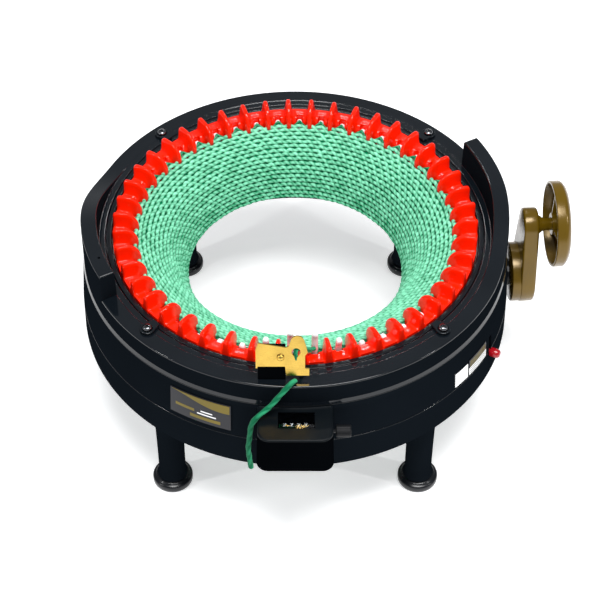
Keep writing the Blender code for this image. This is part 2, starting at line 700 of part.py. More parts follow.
# --- side wall details ----------------------------------------------------------------
def selector():
    """The red lever in its slot and the slide that it moves inside the wall."""
    turn = (0, 0, math.radians(LEVER_AZIMUTH))
    knob = turned_solid([
        (0, 0.1622), (0.0019, 0.1622), (0.0019, 0.1680), (0.0042, 0.1684), (0.0042, 0.1738),
        (0.0032, 0.1758), (0, 0.1764),
    ], 14, "X")
    add_object("selector_lever", knob, "red_plastic", (0, 0, LEVER_Z), turn)
    slide = block((0.1562, -0.0055, LEVER_Z - 0.0070), (0.1618, 0.0055, LEVER_Z + 0.0070))
    add_object("selector_slide", slide, "white_plastic", (0, 0, 0), turn)


def wall_radius(z):
    """Outer radius of the side wall at a height."""
    share = (z - PARTING_Z) / (LEDGE_Z - PARTING_Z)
    return PARTING_RADIUS + share * (LEDGE_RADIUS - PARTING_RADIUS)


def wall_plate(name, start, end, low, high, thickness, finish, steps=6):
    """A thin plate that lies on the round side wall."""
    bm = bmesh.new()
    loops = []
    for i in range(steps + 1):
        azimuth = start + (end - start) * i / steps
        loop = []
        for z, out in ((low, GAP), (low, GAP + thickness), (high, GAP + thickness), (high, GAP)):
            loop.append(bm.verts.new(polar(wall_radius(z) + out, azimuth, z)))
        loops.append(loop)
    for here, following in zip(loops, loops[1:]):
        for i in range(4):
            j = (i + 1) % 4
            bm.faces.new((here[i], here[j], following[j], following[i]))
    bm.faces.new(loops[0])
    bm.faces.new(loops[-1])
    return add_object(name, bm, finish)


# --- knitting -------------------------------------------------------------------------
def offset_line(points, distance):
    """The same line moved sideways by a distance, away from the machine axis and down."""
    moved = []
    for i, (radius, z) in enumerate(points):
        before, after = points[max(i - 1, 0)], points[min(i + 1, len(points) - 1)]
        along = Vector((after[0] - before[0], after[1] - before[1])).normalized()
        moved.append((radius - along.y * distance, z + along.x * distance))
    return moved


def knitted_tube():
    """The knitted tube as one plain thick shell, from the needles to its lower edge."""
    back = offset_line(KNIT_LINE, KNIT_THICKNESS)
    back[0] = (KNIT_LINE[0][0], back[0][1])
    profile = KNIT_LINE + back[::-1]
    return add_object("knitted_tube", turned_ring(profile), "yarn")


def smooth_route(points, steps=2):
    """Points along a Catmull-Rom curve through the route's own points."""
    route = [Vector(p) for p in points]
    route = [2 * route[0] - route[1]] + route + [2 * route[-1] - route[-2]]
    made = []
    for i in range(1, len(route) - 2):
        a, b, c, d = route[i - 1:i + 3]
        for step in range(steps):
            t = step / steps
            made.append(0.5 * (2 * b + (c - a) * t + (2 * a - 5 * b + 4 * c - d) * t ** 2
                               + (3 * b - a - 3 * c + d) * t ** 3))
    made.append(route[-2])
    return made


def yarn_lead():
    """The loose end of yarn that runs from the feeder over the counter and hangs."""
    curve = bpy.data.curves.new("yarn_lead", "CURVE")
    curve.dimensions = "3D"
    curve.bevel_depth = YARN_DIAMETER / 2
    curve.bevel_resolution = 2
    curve.use_fill_caps = True
    points = smooth_route(YARN_ROUTE)
    spline = curve.splines.new("POLY")
    spline.points.add(len(points) - 1)
    for place, point in zip(spline.points, points):
        place.co = (*point, 1.0)
    curve.materials.append(material("yarn"))
    made = bpy.data.objects.new("yarn_lead", curve)
    made.parent = machine_axis()
    bpy.context.scene.collection.objects.link(made)


def main():
    clear_scene()
    base_tray()
    side_housing()
    deck_ring()
    retaining_ring()
    cam_ring()
    legs_and_feet()
    hold_down_clips()
    needle_crown()
    needle_drum()
    drive_ring()
    needles()
    drive_pinion()
    crank()
    yarn_feeder()
    row_counter()
    trip_lever()
    selector()
    wall_plate("badge_plate", -123.6, -106.0, 0.1095, 0.1350, 0.0008, "badge")
    wall_plate("rating_label", -44.0, -30.0, 0.1050, 0.1300, 0.0004, "label")
    knitted_tube()
    yarn_lead()


main()
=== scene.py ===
import json
import math

import bmesh
import bpy
import numpy as np
from mathutils import Matrix, Vector


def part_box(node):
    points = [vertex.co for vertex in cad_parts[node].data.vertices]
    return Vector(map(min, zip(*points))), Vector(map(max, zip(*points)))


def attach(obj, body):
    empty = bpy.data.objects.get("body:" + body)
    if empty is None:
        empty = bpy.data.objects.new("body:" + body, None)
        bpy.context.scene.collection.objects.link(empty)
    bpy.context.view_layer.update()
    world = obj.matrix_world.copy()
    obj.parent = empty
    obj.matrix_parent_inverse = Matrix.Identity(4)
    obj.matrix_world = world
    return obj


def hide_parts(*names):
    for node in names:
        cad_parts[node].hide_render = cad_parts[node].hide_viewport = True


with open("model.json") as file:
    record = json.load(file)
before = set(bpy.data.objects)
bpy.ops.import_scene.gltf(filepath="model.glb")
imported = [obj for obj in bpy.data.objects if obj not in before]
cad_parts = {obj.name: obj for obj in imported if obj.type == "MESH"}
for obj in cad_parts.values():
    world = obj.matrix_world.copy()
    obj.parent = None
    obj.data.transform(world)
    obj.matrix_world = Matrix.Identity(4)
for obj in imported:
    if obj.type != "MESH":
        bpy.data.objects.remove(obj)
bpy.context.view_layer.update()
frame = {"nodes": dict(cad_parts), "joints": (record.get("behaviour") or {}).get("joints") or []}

# The look of the circular knitting machine. Metres; the machine axis is vertical, and
# every radius, azimuth (degrees from +X towards +Y) and height is measured on it.

JOINTS = {joint["name"]: joint for joint in frame["joints"]}
AXIS = Vector((*JOINTS["cylinder_spin"]["pos_m"][:2], 0.0))

# --- dimensions, most of them shared with the CAD ---
NEEDLES = 46
PITCH = 360.0 / NEEDLES
FIN_PHASE = -79.8
GAP = 0.0003
STEPS = 240                       # facets round a fixed ring
SMOOTH_ANGLE = 40.0               # degrees; sharper edges stay sharp
WELD = 1e-7                       # joins points that fall on the same place

BODY_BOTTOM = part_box("base_tray")[0].z
PARTING_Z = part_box("side_housing")[0].z
LEDGE_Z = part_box("side_housing")[1].z
DECK_Z = 0.1595
BODY_RADIUS = 0.1676
PARTING_RADIUS = 0.1670
LEDGE_RADIUS = 0.1644
DECK_RADIUS = 0.1632
DECK_INNER = 0.1457
CHEEK_INNER = 0.1512
CHEEK_LENGTH = 54.5
CHEEK_FLAT = 20.0
CHEEK_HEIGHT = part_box("deck_ring")[1].z - DECK_Z
CHEEK_ENDS = (28.5, 208.5)
CHEEK_ROUND = 0.0012              # rounding of a cheek's abrupt end
WALL = 0.0030
DRUM_OUTER = 0.1262
TRACK_Z = 0.0772

CROWN_RADIUS = 0.1400
CROWN_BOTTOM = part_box("needle_crown")[0].z
FIN_HALF = 1.85                   # degrees, half of a fin at its foot
BELL_WIDTH, BELL_POWER = 0.58, 5.5
BELL_EDGE = 0.0476                # what the bell still has at a fin's edge
SLOT_RADIUS = 0.1324              # bottom of a needle's slot
SLOT_HALF, SLOT_EDGE = 1.14, 0.06  # degrees

NUMBERED = range(-4, 8)           # places of the twelve needles that slide
NEEDLE_DOWN = 0.0973              # foot of a needle that is down
NEEDLE_NECK = 0.043               # above it, a plain needle's head is sunk
PLAIN_SUNK = 0.0034

CRANK_TURN = math.radians(3.5)
CRANK_Z = 0.1010
CRANK_LENGTH = 0.0507
HUB_RADIUS = 0.0241
HANDLE_RADIUS = 0.0336
HANDLE_FACE = 0.2098
HANDLE_FLAT = 0.0290

CASE_FRONT = 0.1957
CASE_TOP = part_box("counter_case")[1].z
CASE_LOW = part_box("counter_case")[0].z
CASE_HALF_WIDTH = 0.0270
WINDOW = ((-0.0123, -0.1842), (0.0140, -0.1692))
COUNTER_AXIS = Vector((0, -0.1782, 0.1295))
DIGIT_PITCH = 0.0051
DIGIT_RADIUS = 0.0072
FIGURE_SIZE = 0.0050              # type size of the counter's figures
READING_ANGLE = math.radians(40)  # from the top of a wheel towards the front
MASK_MARGIN = 0.0010              # the mask under the window reaches past its edges
MASK_SLOT = (0.0036, 0.0072)      # from the front of the mask
MASK_Z = (0.1372, 0.1376)         # its underside and top

LEVER_AZIMUTH = -27.0
LEVER_Z = 0.1015
CLIP_AZIMUTHS = (45.0, 135.0, 225.0, 315.0)
CLIP_RADIUS = 0.1525
LEG_X = 0.0960
LEG_Y = 0.1180

KNIT_LINE = [
    (0.1196, 0.1562), (0.1110, 0.1525), (0.1005, 0.1462), (0.0910, 0.1345), (0.0850, 0.1215),
    (0.0830, 0.1130),
]
KNIT_HALF = 0.0020
COURSES = 18
COURSE_SIDES = 9
COURSE_RADIUS = 0.00154
COURSE_LIFT, COURSE_BUMP = 0.00044, 0.00020   # waves along and off the surface
KNIT_LAY = 0.0085                 # length of one turn of the plies
WAVE_POINTS = 18                  # for each needle
HOOK_POINTS = 22                  # the same, in the newest course
GROUND_ROWS, GROUND_STEPS = 12, 138
YARN_DIAMETER = 0.0042
LEAD_SIDES = 16
INNER_RADIUS, INNER_SIDES = 0.0016, 10   # the strand from the eye to the needles
YARN_ROUTE = [
    (0.0, -0.1588, 0.1618), (-0.0037, -0.1634, 0.1626), (-0.0109, -0.1676, 0.1556),
    (-0.0180, -0.1718, 0.1486), (-0.0266, -0.1764, 0.1430), (-0.0312, -0.1773, 0.1350),
    (-0.0328, -0.1767, 0.1206), (-0.0339, -0.1765, 0.1081), (-0.0331, -0.1765, 0.0942),
    (-0.0324, -0.1765, 0.0860),
]


# --- materials ---
def wire(tree, start, start_socket, end, end_socket):
    """Links two nodes of a material."""
    tree.links.new(start.outputs[start_socket], end.inputs[end_socket])


def noise(tree, scale, detail=2.0, stretch=None):
    """A noise texture in the object's own coordinates, stretched along its axes."""
    place = tree.nodes.new("ShaderNodeTexCoord")
    made = tree.nodes.new("ShaderNodeTexNoise")
    made.inputs["Scale"].default_value = scale
    made.inputs["Detail"].default_value = detail
    if stretch:
        mapping = tree.nodes.new("ShaderNodeMapping")
        mapping.inputs["Scale"].default_value = stretch
        wire(tree, place, "Object", mapping, "Vector")
        wire(tree, mapping, "Vector", made, "Vector")
    else:
        wire(tree, place, "Object", made, "Vector")
    return made


FINISHES = {}


def finish(name, colour, rough, metal=0.0, spec=0.5, vary=0.12, patch=18.0, grain=900.0,
           bump=0.03, rough_vary=0.05, stretch=None, glass=0.0):
    """A moulded or worked surface: colour patches, uneven gloss and a fine grain."""
    made = FINISHES[name] = bpy.data.materials.new(name)
    made.use_nodes = True
    tree = made.node_tree
    shader = tree.nodes["Principled BSDF"]
    shader.inputs["Metallic"].default_value = metal
    shader.inputs["Specular IOR Level"].default_value = spec
    shader.inputs["Transmission Weight"].default_value = glass
    patches = noise(tree, patch, 3.0)
    ramp = tree.nodes.new("ShaderNodeValToRGB")
    ramp.color_ramp.elements[0].position = 0.35
    ramp.color_ramp.elements[1].position = 0.65
    ramp.color_ramp.elements[0].color = (*[c * (1 - vary) for c in colour], 1)
    ramp.color_ramp.elements[1].color = (*[min(1.0, c * (1 + vary)) for c in colour], 1)
    wire(tree, patches, "Fac", ramp, "Fac")
    wire(tree, ramp, "Color", shader, "Base Color")
    gloss = tree.nodes.new("ShaderNodeMapRange")
    gloss.inputs["To Min"].default_value = max(rough - rough_vary, 0.02)
    gloss.inputs["To Max"].default_value = rough + rough_vary
    wire(tree, noise(tree, patch * 4, 4.0, stretch), "Fac", gloss, "Value")
    wire(tree, gloss, "Result", shader, "Roughness")
    relief = tree.nodes.new("ShaderNodeBump")
    relief.inputs["Strength"].default_value = bump
    relief.inputs["Distance"].default_value = 0.0004
    wire(tree, noise(tree, grain, 2.0, stretch), "Fac", relief, "Height")
    wire(tree, relief, "Normal", shader, "Normal")
    return made


def yarn_finish(name, light, dark, bump=0.5):
    """Plied wool with fine fibres; its green runs from a lit to a shaded colour by the painted
    shade that each point carries, mixed with a random mottle.
    """
    made = FINISHES[name] = bpy.data.materials.new(name)
    made.use_nodes = True
    tree = made.node_tree
    shader = tree.nodes["Principled BSDF"]
    shader.inputs["Roughness"].default_value = 0.85
    shader.inputs["Specular IOR Level"].default_value = 0.10
    shader.inputs["Sheen Weight"].default_value = 0.06
    shader.inputs["Sheen Roughness"].default_value = 0.5
    # painted shade: the attribute that darkens the yarn where less light reaches it
    painted_shade = tree.nodes.new("ShaderNodeAttribute")
    painted_shade.attribute_name = "painted_shade"
    fibres = noise(tree, 1500.0, 3.0)
    mottle = noise(tree, 130.0, 3.0)
    shade = tree.nodes.new("ShaderNodeMath")
    shade.operation = "MULTIPLY_ADD"
    shade.inputs[1].default_value = 0.55
    wire(tree, mottle, "Fac", shade, 0)
    wire(tree, painted_shade, "Fac", shade, 2)
    ramp = tree.nodes.new("ShaderNodeValToRGB")
    ramp.color_ramp.elements[0].position = 0.12
    ramp.color_ramp.elements[1].position = 0.95
    ramp.color_ramp.elements[0].color = (*light, 1)
    ramp.color_ramp.elements[1].color = (*dark, 1)
    wire(tree, shade, "Value", ramp, "Fac")
    wire(tree, ramp, "Color", shader, "Base Color")
    relief = tree.nodes.new("ShaderNodeBump")
    relief.inputs["Strength"].default_value = bump
    relief.inputs["Distance"].default_value = 0.0006
    wire(tree, fibres, "Fac", relief, "Height")
    wire(tree, relief, "Normal", shader, "Normal")


finish("deck_black", (0.004, 0.006, 0.0085), 0.10, spec=0.40, rough_vary=0.015, bump=0.008)
finish("wall_black", (0.0050, 0.0070, 0.0095), 0.35, spec=0.0, vary=0.10, patch=9.0, bump=0.02)
finish("case_wall", (0.0014, 0.0018, 0.0024), 0.35, spec=0.0, bump=0.02)
finish("case_black", (0.0022, 0.0038, 0.0052), 0.36, spec=0.12, rough_vary=0.02, bump=0.02)
finish("dark_plastic", (0.005, 0.006, 0.008), 0.20, spec=0.25, rough_vary=0.02, bump=0.02)
finish("knob_grey", (0.0045, 0.005, 0.006), 0.45, spec=0.15, bump=0.08)
finish("red_plastic", (0.93, 0.013, 0.0006), 0.11, spec=0.30, vary=0.05, bump=0.012)
finish("crimson", (0.36, 0.004, 0.010), 0.18, spec=0.5, bump=0.02)
finish("white_plastic", (0.80, 0.81, 0.80), 0.30, vary=0.04, bump=0.04)
finish("needle_plastic", (0.97, 0.97, 0.97), 0.08, vary=0.02, bump=0.02, glass=0.06)
finish("bronze_plastic", (0.125, 0.072, 0.002), 0.22, metal=0.25, spec=0.45, vary=0.15,
       grain=2600.0, bump=0.10)
finish("brass", (0.58, 0.38, 0.080), 0.26, metal=1.0, vary=0.16, patch=60.0, bump=0.10,
       rough_vary=0.10, stretch=(1, 1, 14))
finish("steel", (0.62, 0.62, 0.64), 0.22, metal=1.0, vary=0.08, bump=0.05)
finish("screw_steel", (0.16, 0.165, 0.175), 0.20, metal=1.0, vary=0.10, bump=0.05)
finish("lens", (0.80, 0.84, 0.86), 0.03, spec=0.08, vary=0.03, bump=0.005, glass=1.0)
finish("rubber", (0.004, 0.005, 0.007), 0.24, spec=0.35, bump=0.08, grain=500.0)
finish("label", (0.86, 0.86, 0.85), 0.45, vary=0.05, bump=0.03)
finish("print_grey", (0.10, 0.10, 0.095), 0.45, vary=0.10, bump=0.03)
finish("badge", (0.020, 0.020, 0.024), 0.45, spec=0.2, vary=0.15, grain=1800.0, bump=0.05)
finish("badge_gold", (0.17, 0.125, 0.012), 0.40, spec=0.2, vary=0.10)
finish("mark_white", (0.88, 0.88, 0.88), 0.45, vary=0.03, bump=0.02)
# lit and shaded greens of the knitting and, below, of the loose yarn; painted shade picks between
# them
yarn_finish("knit", (0.280, 0.800, 0.530), (0.0, 0.175, 0.066))
# painted shade: the dark green of the sheet seen in the gaps between the courses
finish("knit_gap_shade", (0.001, 0.150, 0.060), 0.9, spec=0.05, vary=0.4, patch=160.0, bump=0.6)
yarn_finish("lead", (0.040, 0.400, 0.185), (0.002, 0.120, 0.050), 0.7)


# --- making pieces ---
def polar(radius, azimuth, z=0.0):
    """A point at a radius, azimuth and height from the machine axis."""
    angle = math.radians(azimuth)
    return Vector((AXIS.x + radius * math.cos(angle), AXIS.y + radius * math.sin(angle), z))


def linked(name, data):
    """A new object of the scene that holds a mesh, curve, light or camera."""
    made = bpy.data.objects.new(name, data)
    bpy.context.scene.collection.objects.link(made)
    return made


def joined_mesh(name, parts):
    """One welded mesh of (points, faces) parts, with every face outwards."""
    bm = bmesh.new()
    for points, faces in parts:
        verts = [bm.verts.new(p) for p in points]
        for face in faces:
            bm.faces.new([verts[i] for i in face])
        bmesh.ops.remove_doubles(bm, verts=verts, dist=WELD)
    bare = [edge for edge in bm.edges if not edge.link_faces]
    bmesh.ops.delete(bm, geom=bare, context="EDGES")
    bmesh.ops.recalc_face_normals(bm, faces=bm.faces[:])
    mesh = bpy.data.meshes.new(name)
    bm.to_mesh(mesh)
    bm.free()
    return mesh


def finished(name, mesh, finish_name, body, replaces):
    """The piece of a mesh: its finish and body, and the nodes it stands for."""
    mesh.materials.append(FINISHES[finish_name])
    made = linked(name, mesh)
    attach(made, body)
    if replaces:
        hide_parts(*replaces)
    return made


def piece(name, parts, finish_name, body, replaces=(), smooth=SMOOTH_ANGLE):
    """Joins (points, faces) parts into one piece that rides on a body."""
    mesh = joined_mesh(name, parts)
    mesh.shade_smooth()
    mesh.set_sharp_from_angle(angle=math.radians(smooth))
    return finished(name, mesh, finish_name, body, replaces)


def lofted(loops, around=True, caps=True):
    """(points, faces) between loops; around joins the last loop to the first."""
    n, count = len(loops[0]), len(loops)
    points = [p for loop in loops for p in loop]
    faces = []
    for i in range(count if around else count - 1):
        a, b = i * n, (i + 1) % count * n
        faces += [(a + j, a + (j + 1) % n, b + (j + 1) % n, b + j) for j in range(n)]
    if not around and caps:
        faces += [tuple(range(n)), tuple(range((count - 1) * n, count * n))]
    return points, faces


def rounded(corners, steps=5):
    """A closed outline whose (x, y, radius) corners are rounded where radius is over 0."""
    made = []
    for i, (x, y, radius) in enumerate(corners):
        here = Vector((x, y))
        if radius <= 0:
            made.append(here)
            continue
        back = Vector(corners[i - 1][:2]) - here
        ahead = Vector(corners[(i + 1) % len(corners)][:2]) - here
        reach = radius / math.tan(max(back.angle(ahead) / 2, 0.05))
        reach = min(reach, 0.48 * back.length, 0.48 * ahead.length)
        start, end = here + back.normalized() * reach, here + ahead.normalized() * reach
        for step in range(steps + 1):
            t = step / steps
            made.append((1 - t) ** 2 * start + 2 * t * (1 - t) * here + t * t * end)
    return made


def turned(corners):
    """A ring of one rounded profile all round the machine axis."""
    profile = rounded(corners)
    return lofted([[polar(r, 360.0 * i / STEPS, z) for r, z in profile] for i in range(STEPS)])


def lathe(profile, place, steps=48):
    """A turned solid: (radius, height) points from the axis to the axis, put in place."""
    loops = []
    for i in range(steps):
        angle = 2 * math.pi * i / steps
        loops.append([place @ Vector((r * math.cos(angle), r * math.sin(angle), h))
                      for r, h in profile])
    return lofted(loops)


def arc(centre, radius, start, end, steps):
    """Points along part of a circle, from one angle to another in degrees."""
    made = []
    for i in range(steps + 1):
        angle = math.radians(start + (end - start) * i / steps)
        made.append((centre[0] + radius * math.cos(angle), centre[1] + radius * math.sin(angle)))
    return made


def upright(x, y, z=0.0):
    """Places a piece with its own axis upright at a point measured from the machine axis."""
    return Matrix.Translation((AXIS.x + x, AXIS.y + y, z))


def outward(azimuth, z):
    """Places a piece whose +Z points outwards at an azimuth and a height."""
    turn = Matrix.Rotation(math.radians(azimuth), 4, "Z") @ Matrix.Rotation(math.pi / 2, 4, "Y")
    return Matrix.Translation(AXIS + Vector((0, 0, z))) @ turn


def block(low, high, place=None):
    """A box between two corners, measured from the machine axis unless it is placed."""
    place = place or Matrix.Translation(AXIS)
    (x0, y0, z0), (x1, y1, z1) = low, high
    outline = [(x0, y0), (x1, y0), (x1, y1), (x0, y1)]
    return lofted([[place @ Vector((x, y, z)) for x, y in outline] for z in (z0, z1)], False)


def carve(made, cutters):
    """Cuts (points, faces) solids from a piece, and keeps only the result."""
    tools = []
    for cutter in cutters:
        tool = linked("cutter", joined_mesh("cutter", [cutter]))
        change = made.modifiers.new("cut", "BOOLEAN")
        change.solver = "EXACT"
        change.object = tool
        tools.append(tool)
    keep(made)
    for tool in tools:
        bpy.data.objects.remove(tool)


def keep(made):
    """Turns a piece's modifiers into its mesh."""
    graph = bpy.context.evaluated_depsgraph_get()
    mesh = bpy.data.meshes.new_from_object(made.evaluated_get(graph))
    made.modifiers.clear()
    made.data = mesh
    mesh.shade_smooth()
    mesh.set_sharp_from_angle(angle=math.radians(SMOOTH_ANGLE))


def bevel(made, width, segments, angle):
    """Rounds the edges where two faces meet at more than an angle."""
    change = made.modifiers.new("bevel", "BEVEL")
    change.width = width
    change.segments = segments
    change.limit_method = "ANGLE"
    change.angle_limit = math.radians(angle)


def flat_faces(made):
    """Keeps wide faces flat, so that only the rounded edges catch the light."""
    change = made.modifiers.new("flat_faces", "WEIGHTED_NORMAL")
    change.keep_sharp = True
    change.weight = 90


def smoothstep(t):
    """Eases from 0 to 1."""
    t = min(max(t, 0.0), 1.0)
    return t * t * (3 - 2 * t)


# --- camera and lights ---
def camera():
    """The photo's viewing angle: a long lens, in front of the machine and above it."""
    data = bpy.data.cameras.new("camera")
    data.lens = 111.8
    data.sensor_width = 36.0
    data.shift_x = 0.008
    data.clip_start, data.clip_end = 0.05, 20.0
    made = linked("camera", data)
    made.location = (AXIS.x, AXIS.y - 1.0327, 1.15674)
    made.rotation_euler = (math.radians(43.77), 0, 0)
    bpy.context.scene.camera = made


def area_light(name, place, target, size, power):
    """A white rectangular light that faces a target."""
    data = bpy.data.lights.new(name, "AREA")
    data.shape = "RECTANGLE"
    data.size, data.size_y = size
    data.energy = power
    made = linked(name, data)
    made.location = place
    made.rotation_euler = (Vector(target) - Vector(place)).to_track_quat("-Z", "Y").to_euler()


def stage():
    """Pale floor, soft studio light."""
    points, faces = block((-4, -4, -0.02), (4, 4, 0.0))
    mesh = bpy.data.meshes.new("floor")
    mesh.from_pydata(points, [], faces)
    pale = finish("floor", (0.92, 0.92, 0.925), 0.9, spec=0.0, vary=0.01, bump=0.0)
    surface = pale.node_tree.nodes["Principled BSDF"].inputs
    surface["Emission Color"].default_value = (1, 1, 1, 1)
    surface["Emission Strength"].default_value = 0.45
    mesh.materials.append(pale)
    floor = linked("floor", mesh)
    world = bpy.data.worlds.new("studio")
    world.use_nodes = True
    sky = world.node_tree.nodes["Background"].inputs
    sky["Color"].default_value = (0.93, 0.96, 1.0, 1)
    sky["Strength"].default_value = 0.34
    bpy.context.scene.world = world
    area_light("key", (0.10, -0.40, 1.70), (0, 0, 0.05), (1.0, 0.6), 33)
    area_light("rear_strip", (0.0, 1.2, 1.33), (0, 0, 0.15), (0.16, 0.05), 1.3)
    area_light("left_strip", (-1.1, -0.45, 0.95), (0, 0, 0.12), (0.05, 0.30), 3.5)
    area_light("right_strip", (1.1, -0.45, 0.95), (0, 0, 0.12), (0.05, 0.30), 3.5)
    area_light("front_strip", (0.05, -0.75, 1.45), (0, 0, 0.15), (0.40, 0.03), 0.6)
    bpy.context.scene.view_settings.view_transform = "Standard"


# --- yarn ---
def smooth_route(points, steps):
    """Points along a Catmull-Rom curve through the route's own points."""
    route = [Vector(p) for p in points]
    route = [2 * route[0] - route[1]] + route + [2 * route[-1] - route[-2]]
    made = []
    for i in range(1, len(route) - 2):
        a, b, c, d = route[i - 1:i + 3]
        for step in range(steps):
            t = step / steps
            made.append(0.5 * (2 * b + (c - a) * t + (2 * a - 5 * b + 4 * c - d) * t ** 2
                               + (3 * b - a - 3 * c + d) * t ** 3))
    made.append(route[-2])
    return made


def plied_tube(points, up, radius, sides, plies, lay, closed, depth):
    """A tube whose section has one bulge per ply, turning once every lay metres."""
    path = np.array([tuple(p) for p in points])
    if closed:
        ahead, behind = np.roll(path, -1, 0), np.roll(path, 1, 0)
    else:
        ahead = np.vstack([path[1:], 2 * path[-1:] - path[-2:-1]])
        behind = np.vstack([2 * path[:1] - path[1:2], path[:-1]])
    along = ahead - behind
    along /= np.linalg.norm(along, axis=1)[:, None]
    side = np.cross(along, up)
    side /= np.linalg.norm(side, axis=1)[:, None]
    rise = np.cross(side, along)
    length = np.concatenate([[0], np.cumsum(np.linalg.norm(np.diff(path, axis=0), axis=1))])
    angle = np.arange(sides) * 2 * math.pi / sides
    wave = np.cos(plies * (angle[None, :] - 2 * math.pi * length[:, None] / lay))
    reach = radius * (1 + depth * (wave - 1) / 2)
    around = (np.cos(angle)[None, :, None] * rise[:, None, :]
              + np.sin(angle)[None, :, None] * side[:, None, :])
    verts = path[:, None, :] + reach[:, :, None] * around
    # painted shade: darker where the plies meet and on the side of the tube turned away from up
    painted_shade = 0.5 * ((1 - wave) / 2) ** 2 + 0.8 * (0.5 - 0.5 * np.cos(angle)[None, :])
    return verts.reshape(-1, 3), painted_shade.ravel()


def tube_faces(count, sides, closed, first):
    """Faces of a tube of count rings whose points begin at first; open ends are capped."""
    faces = []
    for i in range(count if closed else count - 1):
        a, b = first + i * sides, first + (i + 1) % count * sides
        faces += [(a + j, a + (j + 1) % sides, b + (j + 1) % sides, b + j) for j in range(sides)]
    if not closed:
        last = first + (count - 1) * sides
        faces += [tuple(range(first, first + sides))[::-1], tuple(range(last, last + sides))]
    return faces


def yarn_piece(name, strands, finish_name, body, replaces=()):
    """One piece from (verts, groove, sides, closed) strands."""
    verts, faces, painted_shades = [], [], []
    first = 0
    for strand, painted_shade, sides, closed in strands:
        count = len(strand) // sides
        faces += tube_faces(count, sides, closed, first)
        verts.append(strand)
        painted_shades.append(painted_shade)
        first += len(strand)
    mesh = bpy.data.meshes.new(name)
    mesh.from_pydata(np.vstack(verts), [], faces)
    mesh.attributes.new("painted_shade", "FLOAT", "POINT").data.foreach_set(
        "value", np.concatenate(painted_shades).astype(np.float32))
    mesh.shade_smooth()
    return finished(name, mesh, finish_name, body, replaces)


def yarn_lead():
    """The loose end of yarn, and the strand that goes from the eye to the needles."""
    path = [AXIS + p for p in smooth_route(YARN_ROUTE, 8)]
    up = np.tile([[0.9, 0.1, 0.3]], (len(path), 1))
    verts, painted_shade = plied_tube(path, up, YARN_DIAMETER / 2, LEAD_SIDES, 2, 0.021, False, 0.14)
    lead = yarn_piece("yarn_lead_plied", [(verts, painted_shade, LEAD_SIDES, False)], "lead", "frame",
                      ["yarn_lead"])
    route = [(0.0, -0.1545, 0.1640), (0.0004, -0.1518, 0.1730), (0.0006, -0.1500, 0.1828),
             (0.0022, -0.1450, 0.1800), (0.0062, -0.1370, 0.1712), (0.0110, -0.1322, 0.1655),
             (0.0142, -0.1300, 0.1640)]
    inner = [AXIS + p for p in smooth_route(route, 6)]
    up = np.tile([[0.95, 0.1, 0.1]], (len(inner), 1))
    verts, painted_shade = plied_tube(inner, up, INNER_RADIUS, INNER_SIDES, 3, 0.009, False, 0.16)
    strand = yarn_piece("yarn_to_needles", [(verts, painted_shade, INNER_SIDES, False)], "lead",
                        "frame")


# --- knitting ---
def knit_surface():
    """Radius, height and outward normal along the middle of the knitting, by length."""
    line = [Vector((r, z, 0)) for r, z in KNIT_LINE]
    fine = smooth_route(line, 12)
    middle = []
    for i, here in enumerate(fine):
        along = (fine[min(i + 1, len(fine) - 1)] - fine[max(i - 1, 0)]).normalized()
        normal = Vector((-along.y, along.x, 0))   # faces up and towards the machine axis
        if normal.y < 0 and normal.x > 0:
            normal = -normal
        middle.append((here - normal * KNIT_HALF, normal))
    length = [0.0]
    for (a, _), (b, _) in zip(middle, middle[1:]):
        length.append(length[-1] + (b - a).length)
    columns = np.array([[p.x, p.y, n.x, n.y] for p, n in middle])
    return np.array(length), columns


def knit_at(surface, s):
    """Radius, height and normal at lengths along the middle of the knitting."""
    length, columns = surface
    s = np.asarray(s)
    inside = [np.interp(s, length, columns[:, k]) for k in range(4)]
    over = np.minimum(s, 0.0)               # carried on straight above the first point
    slope = (columns[1, :2] - columns[0, :2]) / (length[1] - length[0])
    return [inside[0] + over * slope[0], inside[1] + over * slope[1], *inside[2:]]


def course_path(surface, s0, shift, seed):
    """One course: two rounded waves for each needle; also its normals, and its painted shade,
    darker where the course dips under the next, with a random tone.
    """
    rng = np.random.default_rng(seed)
    per = WAVE_POINTS
    theta = np.arange(NEEDLES * per) * 2 * math.pi / per
    uneven = np.repeat(rng.normal(0, 1, 2 * NEEDLES), per // 2)
    soft = np.convolve(np.r_[uneven[-per:], uneven, uneven[:per]], np.ones(7) / 7, "same")
    soft = soft[per:-per]
    wave = np.cos(2 * theta + shift + 0.35 * soft)
    azimuth = np.radians(needle_azimuth(0)) + theta / NEEDLES
    s = s0 - COURSE_LIFT * wave * (1 + 0.25 * soft) + 0.00018 * soft
    r, z, nr, nz = knit_at(surface, s)
    off = COURSE_BUMP * wave * (1 + 0.3 * soft)
    r, z = r + off * nr, z + off * nz
    cos, sin = np.cos(azimuth), np.sin(azimuth)
    points = np.stack([AXIS.x + r * cos, AXIS.y + r * sin, z], 1)
    normal = np.stack([nr * cos, nr * sin, nz], 1)
    return points, normal, 0.10 * (1 - wave) - 0.06 * soft


def hooked_path():
    """The newest course: it runs round the outside of each needle and under the fins."""
    theta = np.arange(NEEDLES * HOOK_POINTS) * 2 * math.pi / HOOK_POINTS
    reach = (0.5 + 0.5 * np.cos(theta)) ** 1.6
    azimuth = np.radians(needle_azimuth(0)) + (theta - 0.42 * np.sin(2 * theta) * reach) / NEEDLES
    r = 0.1232 + 0.0052 * reach
    z = 0.1528 + 0.0036 * reach
    points = np.stack([AXIS.x + r * np.cos(azimuth), AXIS.y + r * np.sin(azimuth), z], 1)
    normal = np.stack([0 * r, 0 * r, 0 * r + 1.0], 1)
    return points, normal


def needle_azimuth(index):
    """Azimuth of a needle's place, half way between two fins."""
    return FIN_PHASE + PITCH * (index - 0.5)


